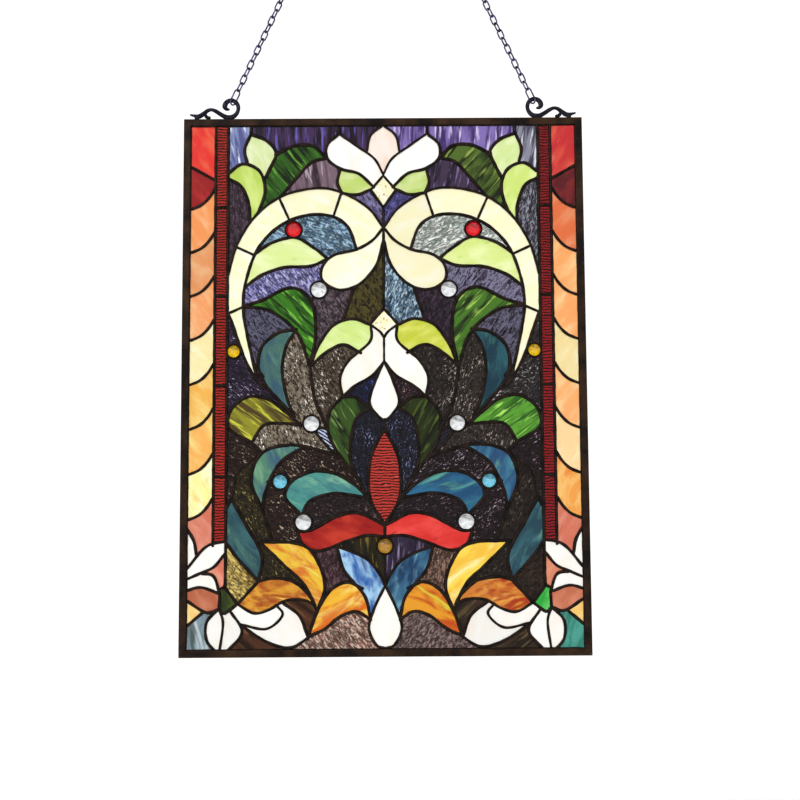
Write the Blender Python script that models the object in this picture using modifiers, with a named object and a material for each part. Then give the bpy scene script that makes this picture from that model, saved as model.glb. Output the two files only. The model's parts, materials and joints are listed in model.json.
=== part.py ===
"""Leaded glass window panel that hangs on a chain.

Metres, +Z up. The panel faces -Y. The origin is the hang point: the underside of the
top wire of the ring at the peak of the chain.
"""
import math

import bmesh
import bpy
import numpy as np
from mathutils import Matrix, Vector

MM = 0.001

# Driving dimensions, in millimetres
PANEL_WIDTH = 457.2
PANEL_HEIGHT = 609.6
FRAME_DEPTH = 8.0
BAR_WIDTH = 8.1
CHANNEL_WALL = 0.9
GLASS_THICKNESS = 3.0
BEAD_HEIGHT = 1.1
SEAM_GAP = 2.0
CLEARANCE = 0.3
RIM_WIDTH = 0.8
HOOK_THICKNESS = 3.6
HOOK_CENTRE = 177.0
JEWEL_HEIGHT = 3.4
CHAIN_WIRE = 1.9
LINK_PITCH = 9.6
LINK_WIDTH = 8.4
LINKS_A_SIDE = 41
FIRST_LINK = 17.0
FIRST_LINK_WIDTH = 10.8
LINK_OVERLAP = 0.3
PEAK_RING = 7.0
PEAK_WIRE = 2.2

# The cartoon, drawn for a daylight opening of this size
CARTOON_HALF_WIDTH = 220.5
CARTOON_BOTTOM = 7.5
CARTOON_HEIGHT = 593.0
GRID = 0.6
LEAD_TOLERANCE = 0.15
BEAD_TOLERANCE = 0.85
GLASS_TOLERANCE = 0.6
SMALLEST_PANE = 25.0

# Lead lines of the right half: bead width, then places from the centre line and the panel's foot
LEADS = {
    "bud_stem": (3.6, (151, 602), (152, 591)),
    "bud_outer": (3.4, (152, 591), (158.9, 573), (155.5, 556)),
    "bud_inner": (3.6, (152, 591), (134, 583.5), (122.8, 569.5), (129, 552.5), (136, 538.5)),
    "comma_top": (3.4, (178, 545), (161, 556.3), (142, 548), (135.3, 526.5), (141.5, 503), (146, 496)),
    "comma_low": (3.4, (178, 539.5), (162, 529.5), (153.6, 508), (152.5, 488)),
    "leaf1_top": (3.6, (123.5, 567), (101.5, 577.3), (80, 576.5), (65, 562.5)),
    "leaf1_low": (3.4, (64.5, 562.5), (82.5, 557.5), (99.5, 539.3), (117, 518.5)),
    "petal_stem": (3.6, (50.5, 602), (50.5, 591)),
    "petal_outer": (3.2, (50.5, 591), (64, 578.3), (63.8, 561.8), (48, 549.8), (28, 544.2), (11, 528.5)),
    "petal_inner": (2.4, (50.5, 591), (30, 576.5), (10, 561.5), (0, 543)),
    "diamond1_up": (2.4, (0, 542), (14.5, 525)),
    "diamond1_low": (3.2, (14.5, 525), (0, 504.5)),
    "centre_petal": (2.6, (0, 601), (14.5, 588.8), (18.8, 569)),
    "small_leaf_end": (3.2, (49, 550), (52.5, 534), (47, 521)),
    "small_leaf_low": (3.2, (14, 526), (29.5, 519.8), (48, 521.5)),
    "arch_outer": (2.6, (0, 481), (17.5, 504.3), (47, 522), (75, 527.6), (114, 519.3), (145, 496.8),
                   (166.5, 463.5), (177.5, 425)),
    "arch_inner": (3.2, (30.6, 456), (41, 482.8), (61, 495.3), (90, 495.6), (119, 483.5), (143, 458),
                   (156, 423), (159.8, 392), (155.3, 360), (143.5, 307)),
    "arch_tail": (3.2, (178, 387), (171.3, 370), (157, 330), (143, 305.5), (135, 298)),
    "arch_bar1": (1.8, (48, 522.5), (57, 495)),
    "arch_bar2": (1.8, (119.5, 517), (107.5, 490.5)),
    "arch_bar3": (1.8, (168.5, 460), (147, 450)),
    "arch_bar4": (1.8, (178, 382.5), (159, 391)),
    "curl_top": (3.0, (0.5, 481), (13, 466.3), (32, 455.8), (56, 450), (69.5, 437.2), (69.3, 420),
                 (50, 409.6), (27, 416.6), (8.3, 438.3), (0.5, 466)),
    "centre_top": (2.8, (0, 506), (0, 388)),
    "arch_leaf_top": (3.4, (63.5, 445.5), (80.5, 459), (101, 470.2), (127, 464.5), (148, 450.5)),
    "arch_leaf_low": (3.4, (64.5, 445), (84, 437), (113, 435.8), (139, 427), (157.5, 413.5)),
    "leaf2_top": (3.6, (159.5, 391.5), (137.5, 398.5), (105.5, 412.4), (82.3, 397), (77.3, 358.5),
                  (84, 322)),
    "leaf2_low": (3.4, (159.5, 391.5), (128, 385.5), (98, 360), (84, 322)),
    "ground_bar": (3.2, (34, 411.5), (46.5, 374.5)),
    "teal_top": (3.6, (99.5, 364.5), (119.5, 360.8), (137.3, 346.5), (142.2, 323.5), (133.2, 300.5),
                 (103, 267.5)),
    "teal_side": (3.2, (99.5, 364.5), (110.8, 345), (115.2, 318), (110, 288), (101, 265)),
    "seam": (3.4, (84, 322), (78.3, 285), (63.5, 251)),
    "lime_outer": (3.2, (84, 322), (72.8, 348.5), (56.3, 369.8), (34.5, 376.2), (16, 369.5)),
    "lime_inner": (3.4, (84, 322), (65, 338.5), (46, 346.8), (26.5, 337.5)),
    "diamond2_up": (3.0, (0, 388), (16, 370)),
    "diamond2_low": (2.6, (16, 370), (4.5, 361.5), (0, 354.5)),
    "petal2_outer": (2.8, (15, 370), (15.8, 350.5), (39.3, 329.3), (49.6, 310), (47, 287.5)),
    "petal2_inner": (2.8, (0, 327.5), (14, 311.2), (33, 300.2), (47.5, 287.5)),
    "centre_mid": (2.2, (0, 356), (0, 325)),
    "drop2": (2.8, (0, 328), (10.3, 304.5), (16.6, 281.5), (8, 266.8), (0, 260)),
    "leaf3_top": (3.2, (47.5, 287.5), (32, 286.6), (16, 275)),
    "leaf3_left": (3.4, (47.5, 287.5), (61, 272), (63.7, 251), (54.7, 228.3), (30.5, 196)),
    "leaf3_right": (3.2, (16, 275), (33, 260.5), (38.7, 221), (30.5, 196)),
    "stem": (3.2, (30.5, 196), (18, 174)),
    "red_leaf": (3.4, (0, 252), (15.7, 218), (17, 175.5), (0, 143.5)),
    "centre_short": (3.0, (0, 262), (0, 250)),
    "olive_top": (3.4, (94, 256), (113, 272.5), (132, 286), (154, 288.2), (172, 274.5), (175, 253),
                  (149, 236.5)),
    "olive_low": (3.2, (94, 256), (116, 258.2), (136, 256), (149, 236.5)),
    "olive_foot": (3.6, (149, 236.5), (138, 225.5)),
    "scroll_top": (3.4, (50, 219), (68, 226.3), (105, 233.8), (138, 224.5), (149.3, 194), (136.5, 161)),
    "scroll_inner": (3.4, (91, 232), (118, 213), (133.5, 182), (136.5, 161)),
    "stripe_low": (2.6, (78, 248.5), (64, 231.5), (50, 219)),
    "stripe_top": (3.0, (63.5, 251), (75, 254)),
    "tcomma_outer": (3.4, (18, 174), (35, 190), (57, 201.8), (81, 203.8), (103, 193.8), (111.5, 176),
                     (94, 156)),
    "tcomma_inner": (3.0, (18, 174), (56, 179.4), (83.5, 171.3), (93, 155.5)),
    "jewel_bar": (3.0, (122, 192.7), (131, 192.7)),
    "fall": (3.2, (136.5, 161), (125, 125.4)),
    "shade": (2.2, (139.5, 226), (149, 216.5), (163.5, 204.5), (169, 187), (171.5, 174)),
    "low_teal_left": (3.0, (171.5, 174), (178.5, 160)),
    "low_teal_right": (3.6, (171.5, 174), (155.5, 145.5), (137.2, 111), (141, 82.5)),
    "low_teal_low": (3.4, (178.5, 127), (164, 107.5), (141, 82.5)),
    "gold_right": (3.2, (164, 57.5), (141, 82.5)),
    "gold_left": (3.2, (164, 57.5), (178.7, 76.5)),
    "corner_high": (3.4, (221, 141), (213, 127), (210, 111)),
    "wing1_top": (3.0, (177.6, 127), (199.5, 120.8), (221, 96)),
    "wing1_low": (3.0, (178.5, 113), (190.5, 98.7), (206, 91.5), (221, 85)),
    "wing2_top": (3.2, (206, 91.5), (191, 88.5), (183.7, 69)),
    "wing2_low": (3.0, (221, 72.5), (204.5, 76.2), (183.7, 69)),
    "cup_side": (3.2, (183.7, 69), (184.5, 52.5)),
    "cup_low": (3.2, (184.5, 52.5), (199, 48.6), (221, 62)),
    "corner_low": (3.2, (202, 49), (221, 33)),
    "petal3_out": (3.0, (184.5, 52.5), (198, 38), (197.8, 18), (187, 5)),
    "petal3_mid": (2.6, (184.5, 52.5), (179.9, 36), (183.8, 5)),
    "petal3_in": (3.0, (172, 50), (158.8, 27), (176, 5)),
    "cup_foot": (3.2, (184.5, 52.5), (178.5, 47.5), (164, 57.5)),
    "sweep": (3.0, (161, 35.5), (144.5, 23.7), (124.5, 13.2), (103.5, 10), (84, 21.5)),
    "sweep_tip": (2.6, (121, 56.5), (114, 45), (132, 30.3), (161, 35.5)),
    "sweep_right": (3.0, (114, 58.5), (95.5, 44.5), (85.5, 20)),
    "orange_top": (3.4, (141, 82.5), (125, 86), (102, 82), (84.5, 67), (78, 56)),
    "orange_low": (2.8, (164, 57.5), (146, 47.6), (129.5, 51), (110.5, 61.2), (90.5, 61.5), (78, 56)),
    "yellow_top": (3.4, (139.5, 126), (99.5, 124.3), (80, 112.5), (67, 79), (75.5, 49)),
    "yellow_low": (3.2, (139.5, 126), (111, 98.5), (90, 78.5), (75.5, 49)),
    "amber_top": (3.4, (25.5, 74), (43, 81), (61.5, 71.5), (75.5, 49), (85.5, 21.5)),
    "amber_low": (3.2, (85.5, 21.5), (67, 30), (50, 43.3), (32, 48.6), (18, 40.5)),
    "blue_top": (3.0, (54, 121), (23, 108), (7.5, 91.8), (0, 76)),
    "blue_low": (3.2, (54, 121), (45, 93), (23, 66), (18, 40.5)),
    "drop3": (2.8, (0, 77), (11.3, 54), (18.2, 31), (10.5, 12.5), (0, 8.5)),
    "centre_low": (2.6, (0, 113), (0, 76)),
    "centre_wing": (3.2, (0, 146), (0, 128)),
    "wing_top": (3.4, (0, 143.5), (28, 156.9), (52, 154.3), (82, 138.9), (98, 137.5)),
    "wing_low": (3.2, (0, 131), (21, 132.2), (43, 126), (73, 115.6), (91, 122.5), (98, 137.5)),
    "column": (3.0, (191.9, 602), (191.9, 122)),
    "strip": (3.2, (177.6, 602), (177.6, 127), (178.7, 76.5)),
    "column_bar": (3.2, (221, 553.5), (191.9, 537)),
}
# Jewels of the right half: place and radius
JEWELS = {
    "red": (102.5, 479.3, 8.3), "clear_high": (73.7, 409.7, 8.6), "amber": (170, 339.7, 6.7),
    "clear_mid": (82, 257.5, 8.4), "blue": (117, 192.7, 7.5), "clear_low": (91, 147.3, 8.6),
    "amber_centre": (0, 120.6, 8.0),
}
COLUMN_BARS = 8
COLUMN_BAR_START = 503.0
COLUMN_BAR_STEP = 50.4
STRIP_BARS = 4
STRIP_BAR_START = 506.0
STRIP_BAR_STEP = 102.4
COLUMN_LEAD = 191.9
STRIP_LEAD = 177.6
for step in range(COLUMN_BARS):
    low = COLUMN_BAR_START - COLUMN_BAR_STEP * step
    LEADS[f"column_bar_{step}"] = (3.0, (COLUMN_LEAD, low + 26), (198.6, low + 14.8), (208, low + 5.6), (221, low))
for step in range(STRIP_BARS):
    low = STRIP_BAR_START - STRIP_BAR_STEP * step
    LEADS[f"strip_bar_{step}"] = (3.0, (STRIP_LEAD, low), (COLUMN_LEAD, low))
BEZEL_WIDTH = 2.2
JEWEL_COLOURS = {
    "red": (0.80, 0.02, 0.03), "amber": (0.85, 0.45, 0.02), "amber_centre": (0.45, 0.22, 0.03),
    "blue": (0.35, 0.65, 0.80), "clear_high": (0.92, 0.92, 0.92), "clear_mid": (0.92, 0.92, 0.92),
    "clear_low": (0.92, 0.92, 0.92),
}

# Panes fused into one sheet where they touch: its colour and a place inside each pane
SHEETS = {
    "border_glass": ((0.90, 0.45, 0.16), [(206, 570), (206, 530), (206, 135)]
                     + [(206, COLUMN_BAR_START - 10 - COLUMN_BAR_STEP * k) for k in range(COLUMN_BARS - 1)]),
    "red_strip": ((0.42, 0.02, 0.02), [(185, 560), (185, 140)]
                  + [(185, STRIP_BAR_START - 50 - STRIP_BAR_STEP * k) for k in range(STRIP_BARS - 1)]),
    "top_leaves": ((0.55, 0.72, 0.28), [(140, 570), (150, 540), (95, 565), (67, 545), (172, 500)]),
    "high_petal": ((0.95, 0.90, 0.84), [(40, 565), (35, 532), (9, 508)]),
    "white_arch": ((0.96, 0.93, 0.72), [(25, 490), (80, 510), (135, 488), (166, 430), (160, 355), (174.5, 366)]),
    "curl_petal": ((0.96, 0.94, 0.76), [(40, 430)]),
    "arch_leaf": ((0.78, 0.86, 0.48), [(110, 455), (60, 475), (128, 472)]),
    "green_leaf": ((0.13, 0.36, 0.06), [(100, 395)]),
    "lime_leaf": ((0.70, 0.74, 0.25), [(45, 362)]),
    "low_petal": ((0.96, 0.95, 0.92), [(30, 315)]),
    "teal_leaf": ((0.12, 0.33, 0.34), [(128, 330)]),
    "olive_leaf": ((0.30, 0.30, 0.04), [(155, 270)]),
    "dark_leaf": ((0.07, 0.12, 0.03), [(50, 250), (24, 298)]),
    "scroll_leaf": ((0.24, 0.42, 0.34), [(140, 200)]),
    "curled_leaf": ((0.22, 0.46, 0.42), [(80, 190), (50, 168)]),
    "red_wing": ((0.62, 0.04, 0.03), [(40, 145)]),
    "top_ground": ((0.20, 0.12, 0.24), [(168, 580), (100, 590), (30, 590)]),
    "upper_ground": ((0.16, 0.11, 0.16), [(130, 370), (80, 427), (20, 400), (150, 300)]),
    "centre_petal": ((0.95, 0.87, 0.80), [(5, 575)]),
    "high_diamond": ((0.90, 0.88, 0.70), [(3, 525)]),
    "low_diamond": ((0.90, 0.85, 0.68), [(3, 370)]),
    "high_drop": ((0.97, 0.96, 0.93), [(5, 290)]),
    "red_heart": ((0.45, 0.05, 0.04), [(5, 200)]),
    "low_drop": ((0.97, 0.97, 0.94), [(5, 35)]),
}
REST_OF_THE_PANES = "lower_ground"
REST_COLOUR = (0.14, 0.09, 0.07)
SHARED_BY_BOTH_HALVES = ("upper_ground", REST_OF_THE_PANES, "centre_petal", "high_diamond", "low_diamond",
                         "high_drop", "red_heart", "low_drop")

# The cast scroll on each top corner, as strokes: width at each point, from its centre and the frame's top
SCROLL = [
    [(1.2, 45.5, 6.4), (2.5, 41, 5.2), (5.0, 35, 4.2), (4.5, 29, 7.9), (3.8, 25, 11.0), (3.2, 20.5, 12.1),
     (4.0, 15.5, 10.2), (4.4, 9.0, 6.0), (5.0, 3.5, 3.2), (5.2, -2.0, 3.0), (4.6, -6.6, 5.4), (3.8, -9.8, 10.4),
     (3.9, -10.0, 16.4), (4.3, -6.8, 21.3), (4.5, -1.8, 23.0), (5.0, 3.2, 20.8), (5.2, 5.3, 16.2),
     (3.5, 3.4, 12.8), (1.4, -0.4, 12.2)],
    [(3.4, 27.5, 6.6), (3.2, 26.2, 3.4), (3.4, 21.5, 2.0)],
    [(4.6, 40.0, 2.4), (4.6, 34.8, 2.4)],
    [(4.6, 5.0, 2.3), (4.6, -3.0, 2.3)],
]
SCROLL_GRID = 0.35
SCROLL_TOLERANCE = 0.3

# Derived places
HALF_WIDTH = PANEL_WIDTH / 2
OPENING_HALF = HALF_WIDTH - BAR_WIDTH
OPENING_HEIGHT = PANEL_HEIGHT - 2 * BAR_WIDTH
SCALE_U = OPENING_HALF / CARTOON_HALF_WIDTH
SCALE_Z = OPENING_HEIGHT / CARTOON_HEIGHT
HALF_DEPTH = FRAME_DEPTH / 2
HALF_GLASS = GLASS_THICKNESS / 2
BEAD_INNER = HALF_GLASS + CLEARANCE
BEAD_OUTER = BEAD_INNER + BEAD_HEIGHT
SLOT_HALF = BEAD_OUTER + CLEARANCE
SLOT_FLOOR = CHANNEL_WALL
WEB_EDGE = CHANNEL_WALL + CLEARANCE
RIM_EDGE = WEB_EDGE + CLEARANCE
GLASS_EDGE = RIM_EDGE + RIM_WIDTH + CLEARANCE
HOOK_SECTION = 4.4
HOOK_EYE = (-4.5, 22.4)
EYE_SLACK = 1.5
EYE_X = HOOK_CENTRE + HOOK_EYE[0]
PEAK_ANGLE = math.radians(40)
PEAK_MIDLINE = PEAK_RING - PEAK_WIRE / 2
PEAK_CENTRE = PEAK_WIRE - PEAK_RING
PEAK_X = PEAK_MIDLINE * math.sin(PEAK_ANGLE)
PEAK_Z = PEAK_CENTRE - PEAK_MIDLINE * math.cos(PEAK_ANGLE)
RUN_LENGTH = FIRST_LINK + LINKS_A_SIDE * LINK_PITCH
CHAIN_REACH = RUN_LENGTH - HOOK_SECTION / 2 - EYE_SLACK - PEAK_WIRE / 2
TILT = math.asin((EYE_X - PEAK_X) / CHAIN_REACH)
EYE_Z = PEAK_Z - CHAIN_REACH * math.cos(TILT)
PANEL_FOOT = EYE_Z - HOOK_EYE[1] - PANEL_HEIGHT


def clear_scene():
    """Empty the file before the model is built."""
    for obj in list(bpy.data.objects):
        bpy.data.objects.remove(obj, do_unlink=True)


def make_collection(name):
    collection = bpy.data.collections.new(name)
    bpy.context.scene.collection.children.link(collection)
    return collection


def make_material(name, colour, roughness, metallic=0.0, transmission=0.0):
    material = bpy.data.materials.new(name)
    material.use_nodes = True
    shader = material.node_tree.nodes["Principled BSDF"]
    shader.inputs["Base Color"].default_value = (*colour, 1.0)
    shader.inputs["Roughness"].default_value = roughness
    shader.inputs["Metallic"].default_value = metallic
    shader.inputs["Transmission Weight"].default_value = transmission
    return material


def smooth_line(points, steps=5):
    """A soft curve through the points, as an array of places."""
    rows = np.array(points, dtype=float)
    if len(rows) < 3:
        return rows
    rows = np.vstack([2 * rows[0] - rows[1], rows, 2 * rows[-1] - rows[-2]])
    out = []
    for before, start, end, after in zip(rows[:-3], rows[1:-2], rows[2:-1], rows[3:]):
        t = np.linspace(0.0, 1.0, steps, endpoint=False)[:, None]
        out.append(0.5 * (2 * start + (end - before) * t + (2 * before - 5 * start + 4 * end - after) * t ** 2
                          + (3 * start - before - 3 * end + after) * t ** 3))
    out.append(rows[-2:-1])
    return np.vstack(out)


def stroke_distance(field, us, zs, start, end, reach):
    """Lower the field to the distance from one straight stroke, whose places are (width, u, z)."""
    low_u = np.searchsorted(us, min(start[1], end[1]) - reach)
    high_u = np.searchsorted(us, max(start[1], end[1]) + reach)
    low_z = np.searchsorted(zs, min(start[2], end[2]) - reach)
    high_z = np.searchsorted(zs, max(start[2], end[2]) + reach)
    if high_u <= low_u or high_z <= low_z:
        return
    u = us[low_u:high_u][None, :] - start[1]
    z = zs[low_z:high_z][:, None] - start[2]
    along_u = end[1] - start[1]
    along_z = end[2] - start[2]
    share = np.clip((u * along_u + z * along_z) / max(along_u ** 2 + along_z ** 2, 1e-12), 0.0, 1.0)
    width = start[0] + (end[0] - start[0]) * share
    distance = np.hypot(u - share * along_u, z - share * along_z) - width / 2
    window = field[low_z:high_z, low_u:high_u]
    np.minimum(window, distance, out=window)


def straighten(curve, tolerance):
    """The fewest chords that follow an open curve within the tolerance."""
    keep = {0, len(curve) - 1}
    waiting = [(0, len(curve) - 1)]
    while waiting:
        start, end = waiting.pop()
        if end - start < 2:
            continue
        worst, offset = farthest_from_chord(curve, start, end)
        if offset > tolerance:
            keep.add(worst)
            waiting += [(start, worst), (worst, end)]
    return curve[sorted(keep)]


def farthest_from_chord(curve, start, end):
    """The point between two others that lies farthest from the chord, and how far."""
    chord = curve[end] - curve[start]
    offset = curve[start + 1:end] - curve[start]
    length = math.hypot(*chord)
    if length < 1e-9:
        distance = np.hypot(*offset.T)
    else:
        distance = np.abs(offset[:, 0] * chord[1] - offset[:, 1] * chord[0]) / length
    worst = int(np.argmax(distance))
    return start + 1 + worst, float(distance[worst])


# Edges of a grid cell are bottom, right, top and left; each case joins two with the inside on its left
CELL_CASES = {
    1: ["bl"], 2: ["rb"], 3: ["rl"], 4: ["tr"], 5: ["bl", "tr"], 6: ["tb"], 7: ["tl"], 8: ["lt"], 9: ["bt"],
    10: ["rb", "lt"], 11: ["rt"], 12: ["lr"], 13: ["br"], 14: ["lb"],
}


def cell_edge(side, row, column):
    return {"b": (0, row, column), "t": (0, row + 1, column), "l": (1, row, column), "r": (1, row, column + 1)}[side]


def edge_place(edge, field, us, zs):
    """Where the field crosses zero on one grid edge."""
    upright, row, column = edge
    here = field[row, column]
    if upright:
        share = here / (here - field[row + 1, column])
        return us[column], zs[row] + share * (zs[row + 1] - zs[row])
    share = here / (here - field[row, column + 1])
    return us[column] + share * (us[column + 1] - us[column]), zs[row]


def outlines(field, us, zs):
    """Closed outlines of the places where the field is above zero."""
    inside = (field > 0).astype(int)
    code = inside[:-1, :-1] + 2 * inside[:-1, 1:] + 4 * inside[1:, 1:] + 8 * inside[1:, :-1]
    following = {}
    for row, column in zip(*np.nonzero((code > 0) & (code < 15))):
        for pair in CELL_CASES[int(code[row, column])]:
            following[cell_edge(pair[0], row, column)] = cell_edge(pair[1], row, column)
    loops = []
    while following:
        edge, following_edge = following.popitem()
        loop = [edge_place(edge, field, us, zs)]
        while following_edge != edge:
            loop.append(edge_place(following_edge, field, us, zs))
            following_edge = following.pop(following_edge)
        loops.append(np.array(loop))
    return loops


def loop_area(loop):
    after = np.roll(loop, -1, axis=0)
    return 0.5 * float(np.sum(loop[:, 0] * after[:, 1] - after[:, 0] * loop[:, 1]))


def keep_corners(loop, tolerance):
    """The fewest points of a closed outline that stay within the tolerance of it."""
    first = int(np.argmin(loop[:, 0] + 0.37 * loop[:, 1]))
    loop = np.roll(loop, -first, axis=0)
    far = int(np.argmax(np.hypot(*(loop - loop[0]).T)))
    closed = np.vstack([loop, loop[:1]])
    first_half = straighten(closed[:far + 1], tolerance)
    second_half = straighten(closed[far:], tolerance)
    return np.vstack([first_half[:-1], second_half[:-1]])


def tidy_outlines(field, us, zs, tolerance, smallest):
    loops = [keep_corners(loop, tolerance) for loop in outlines(field, us, zs) if loop_area(loop) > smallest]
    return sorted(loops, key=lambda loop: (round(loop[0][0], 3), round(loop[0][1], 3)))


def cartoon():
    """The lead lines at the panel's own size, and the grid of its right half."""
    lines = []
    for width, *places in LEADS.values():
        curve = smooth_line(places)
        curve[:, 0] = curve[:, 0] * SCALE_U
        curve[:, 1] = BAR_WIDTH + (curve[:, 1] - CARTOON_BOTTOM) * SCALE_Z
        lines.append((width, straighten(curve, LEAD_TOLERANCE)))
    us = np.arange(0.0, OPENING_HALF + GRID, GRID)
    zs = np.arange(BAR_WIDTH - GRID, PANEL_HEIGHT - BAR_WIDTH + 2 * GRID, GRID)
    return lines, us, zs


def jewel_places():
    """Each jewel at the panel's own size: name, place, radius."""
    return [(name, u * SCALE_U, BAR_WIDTH + (z - CARTOON_BOTTOM) * SCALE_Z, radius)
            for name, (u, z, radius) in JEWELS.items()]


def opening_field(us, zs):
    """Depth inside the frame's daylight opening."""
    side = OPENING_HALF - us[None, :]
    height = np.minimum(zs - BAR_WIDTH, PANEL_HEIGHT - BAR_WIDTH - zs)[:, None]
    return np.minimum(side, height)


def daylight_field(lines, us, zs):
    """Distance from the nearest bead, below zero on the bead."""
    field = np.full((len(zs), len(us)), 99.0)
    for width, curve in lines:
        for start, end in zip(curve[:-1], curve[1:]):
            stroke_distance(field, us, zs, (width, *start), (width, *end), width / 2 + 12)
    for name, u, z, radius in jewel_places():
        from_jewel = np.hypot(us[None, :] - u, zs[:, None] - z) - radius
        outside = np.minimum(field, from_jewel - BEZEL_WIDTH)
        field = np.where(from_jewel < 0, -from_jewel, outside)
    return np.minimum(field, opening_field(us, zs))


def label_panes(field):
    """Number each pane of the grid, then let it grow under the beads around it."""
    free = field > 0
    labels = np.zeros(field.shape, dtype=int)
    count = 0
    for start in zip(*np.nonzero(free)):
        if labels[start]:
            continue
        count += 1
        labels[start] = count
        waiting = [start]
        while waiting:
            row, column = waiting.pop()
            for near in ((row + 1, column), (row - 1, column), (row, column + 1), (row, column - 1)):
                if near[0] < 0 or near[1] < 0 or near[0] >= free.shape[0] or near[1] >= free.shape[1]:
                    continue
                if free[near] and not labels[near]:
                    labels[near] = count
                    waiting.append(near)
    sizes = np.bincount(labels.ravel())
    labels[sizes[labels] * GRID ** 2 < SMALLEST_PANE] = 0
    for turn in range(7):
        for shift, axis in ((1, 0), (-1, 0), (1, 1), (-1, 1)):
            moved = np.roll(labels, shift, axis=axis)
            edge = [slice(None), slice(None)]
            edge[axis] = 0 if shift > 0 else -1
            moved[tuple(edge)] = 0
            labels = np.where((labels == 0) & (moved > 0), moved, labels)
    return labels


def sheet_map(labels, us, zs):
    """The number of the fused sheet at each place of the grid; a jewel's place has none."""
    names = [*SHEETS, REST_OF_THE_PANES]
    sheet_of = np.full(labels.max() + 1, names.index(REST_OF_THE_PANES) + 1)
    sheet_of[0] = 0

    def pane_at(u, z):
        row = int(np.argmin(np.abs(zs - (BAR_WIDTH + (z - CARTOON_BOTTOM) * SCALE_Z))))
        return labels[row, int(np.argmin(np.abs(us - u * SCALE_U)))]

    for number, (colour, seeds) in enumerate(SHEETS.values(), start=1):
        for u, z in seeds:
            sheet_of[pane_at(u, z)] = number
    sheet_of[0] = 0
    for u, z, radius in JEWELS.values():
        sheet_of[pane_at(u, z)] = 0
    return names, sheet_of[labels]


def sheet_at(sheets, us, zs, u, z):
    """The sheet at one place, below zero on the mirrored half."""
    row = int(round((z - zs[0]) / GRID))
    column = int(round(abs(u) / GRID))
    if row < 0 or row >= len(zs) or column >= len(us):
        return 0
    number = int(sheets[row, column])
    return -number if u < -GRID / 2 else number


def seam_pieces(lines, sheets, us, zs):
    """Every short stretch of lead with the sheets on its two sides."""
    pieces = []
    for width, curve in lines:
        for start, end in zip(curve[:-1], curve[1:]):
            count = max(1, int(math.hypot(*(end - start)) / 4))
            stops = [start + (end - start) * k / count for k in range(count + 1)]
            for low, high in zip(stops[:-1], stops[1:]):
                middle = (low + high) / 2
                along = (high - low) / max(math.hypot(*(high - low)), 1e-9)
                across = np.array([-along[1], along[0]]) * (width / 2 + 2 * GRID)
                sides = {sheet_at(sheets, us, zs, *(middle + across)), sheet_at(sheets, us, zs, *(middle - across))}
                pieces.append((low, high, sides))
    return pieces


def sheet_field(number, shared, pieces, sheets, us, zs):
    """Depth inside one fused sheet, with half a seam gap taken off its edges."""
    own = sheets == number
    edge = np.full(own.shape, 9.0)
    for low, high, sides in pieces:
        inside = number in sides
        mirrored_inside = -number in sides
        if shared:
            both = all(abs(side) == number for side in sides)
        else:
            both = sides == {number}
        if both or not (inside or mirrored_inside):
            continue
        stroke_distance(edge, us, zs, (0.0, *low), (0.0, *high), 9.0)
    near = np.full(own.shape, 9.0)
    reach = int(math.ceil(SEAM_GAP / GRID)) + 1
    padded = np.pad(own, reach, constant_values=False)
    if shared:
        padded[reach:-reach, :reach] = own[:, reach:0:-1]
    padded[:reach, :] = padded[reach, :]
    padded[-reach:, :] = padded[-reach - 1, :]
    padded[:, -reach:] = padded[:, -reach - 1][:, None]
    for row in range(-reach, reach + 1):
        for column in range(-reach, reach + 1):
            other = ~padded[reach + row:reach + row + own.shape[0], reach + column:reach + column + own.shape[1]]
            distance = math.hypot(row, column) * GRID
            near = np.where(other, np.minimum(near, distance), near)
    depth = np.minimum(edge - SEAM_GAP / 2, near - GRID - 0.25 * SEAM_GAP)
    if not shared:
        depth = np.minimum(depth, us[None, :] - SEAM_GAP / 2)
    depth = np.where(own, depth, -0.5 * GRID)
    for name, u, z, radius in jewel_places():
        hole = np.hypot(us[None, :] - u, zs[:, None] - z) - (radius + 2 * CLEARANCE + GLASS_TOLERANCE)
        depth = np.minimum(depth, hole)
    return depth


def into_channel(depth, us, zs):
    """Carry a sheet's field straight out from the sight line to the glass's own edge in the channel."""
    extra = int(math.ceil((BAR_WIDTH - GLASS_EDGE) / GRID)) + 1
    depth = np.pad(depth, ((extra, extra), (0, extra)), mode="edge")
    steps = np.arange(1, extra + 1) * GRID
    us = np.concatenate([us, us[-1] + steps])
    zs = np.concatenate([zs[0] - steps[::-1], zs, zs[-1] + steps])
    side = HALF_WIDTH - GLASS_EDGE - us[None, :]
    height = np.minimum(zs - GLASS_EDGE, PANEL_HEIGHT - GLASS_EDGE - zs)[:, None]
    return np.minimum(depth, np.minimum(side, height)), us, zs


def flat_piece(name, loops, thickness, y, collection, material=None):
    """A plate between two faces parallel to the panel, as a filled 2D curve."""
    curve = bpy.data.curves.new(name, "CURVE")
    curve.dimensions = "2D"
    curve.fill_mode = "BOTH"
    curve.extrude = thickness / 2 * MM
    for loop in loops:
        spline = curve.splines.new("POLY")
        spline.points.add(len(loop) - 1)
        for point, (x, z) in zip(spline.points, loop):
            point.co = (x * MM, z * MM, 0.0, 1.0)
        spline.use_cyclic_u = True
    obj = bpy.data.objects.new(name, curve)
    obj.rotation_euler = (math.radians(90), 0.0, 0.0)
    obj.location = (0.0, y * MM, PANEL_FOOT * MM)
    if material:
        curve.materials.append(material)
    collection.objects.link(obj)
    return obj


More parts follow.
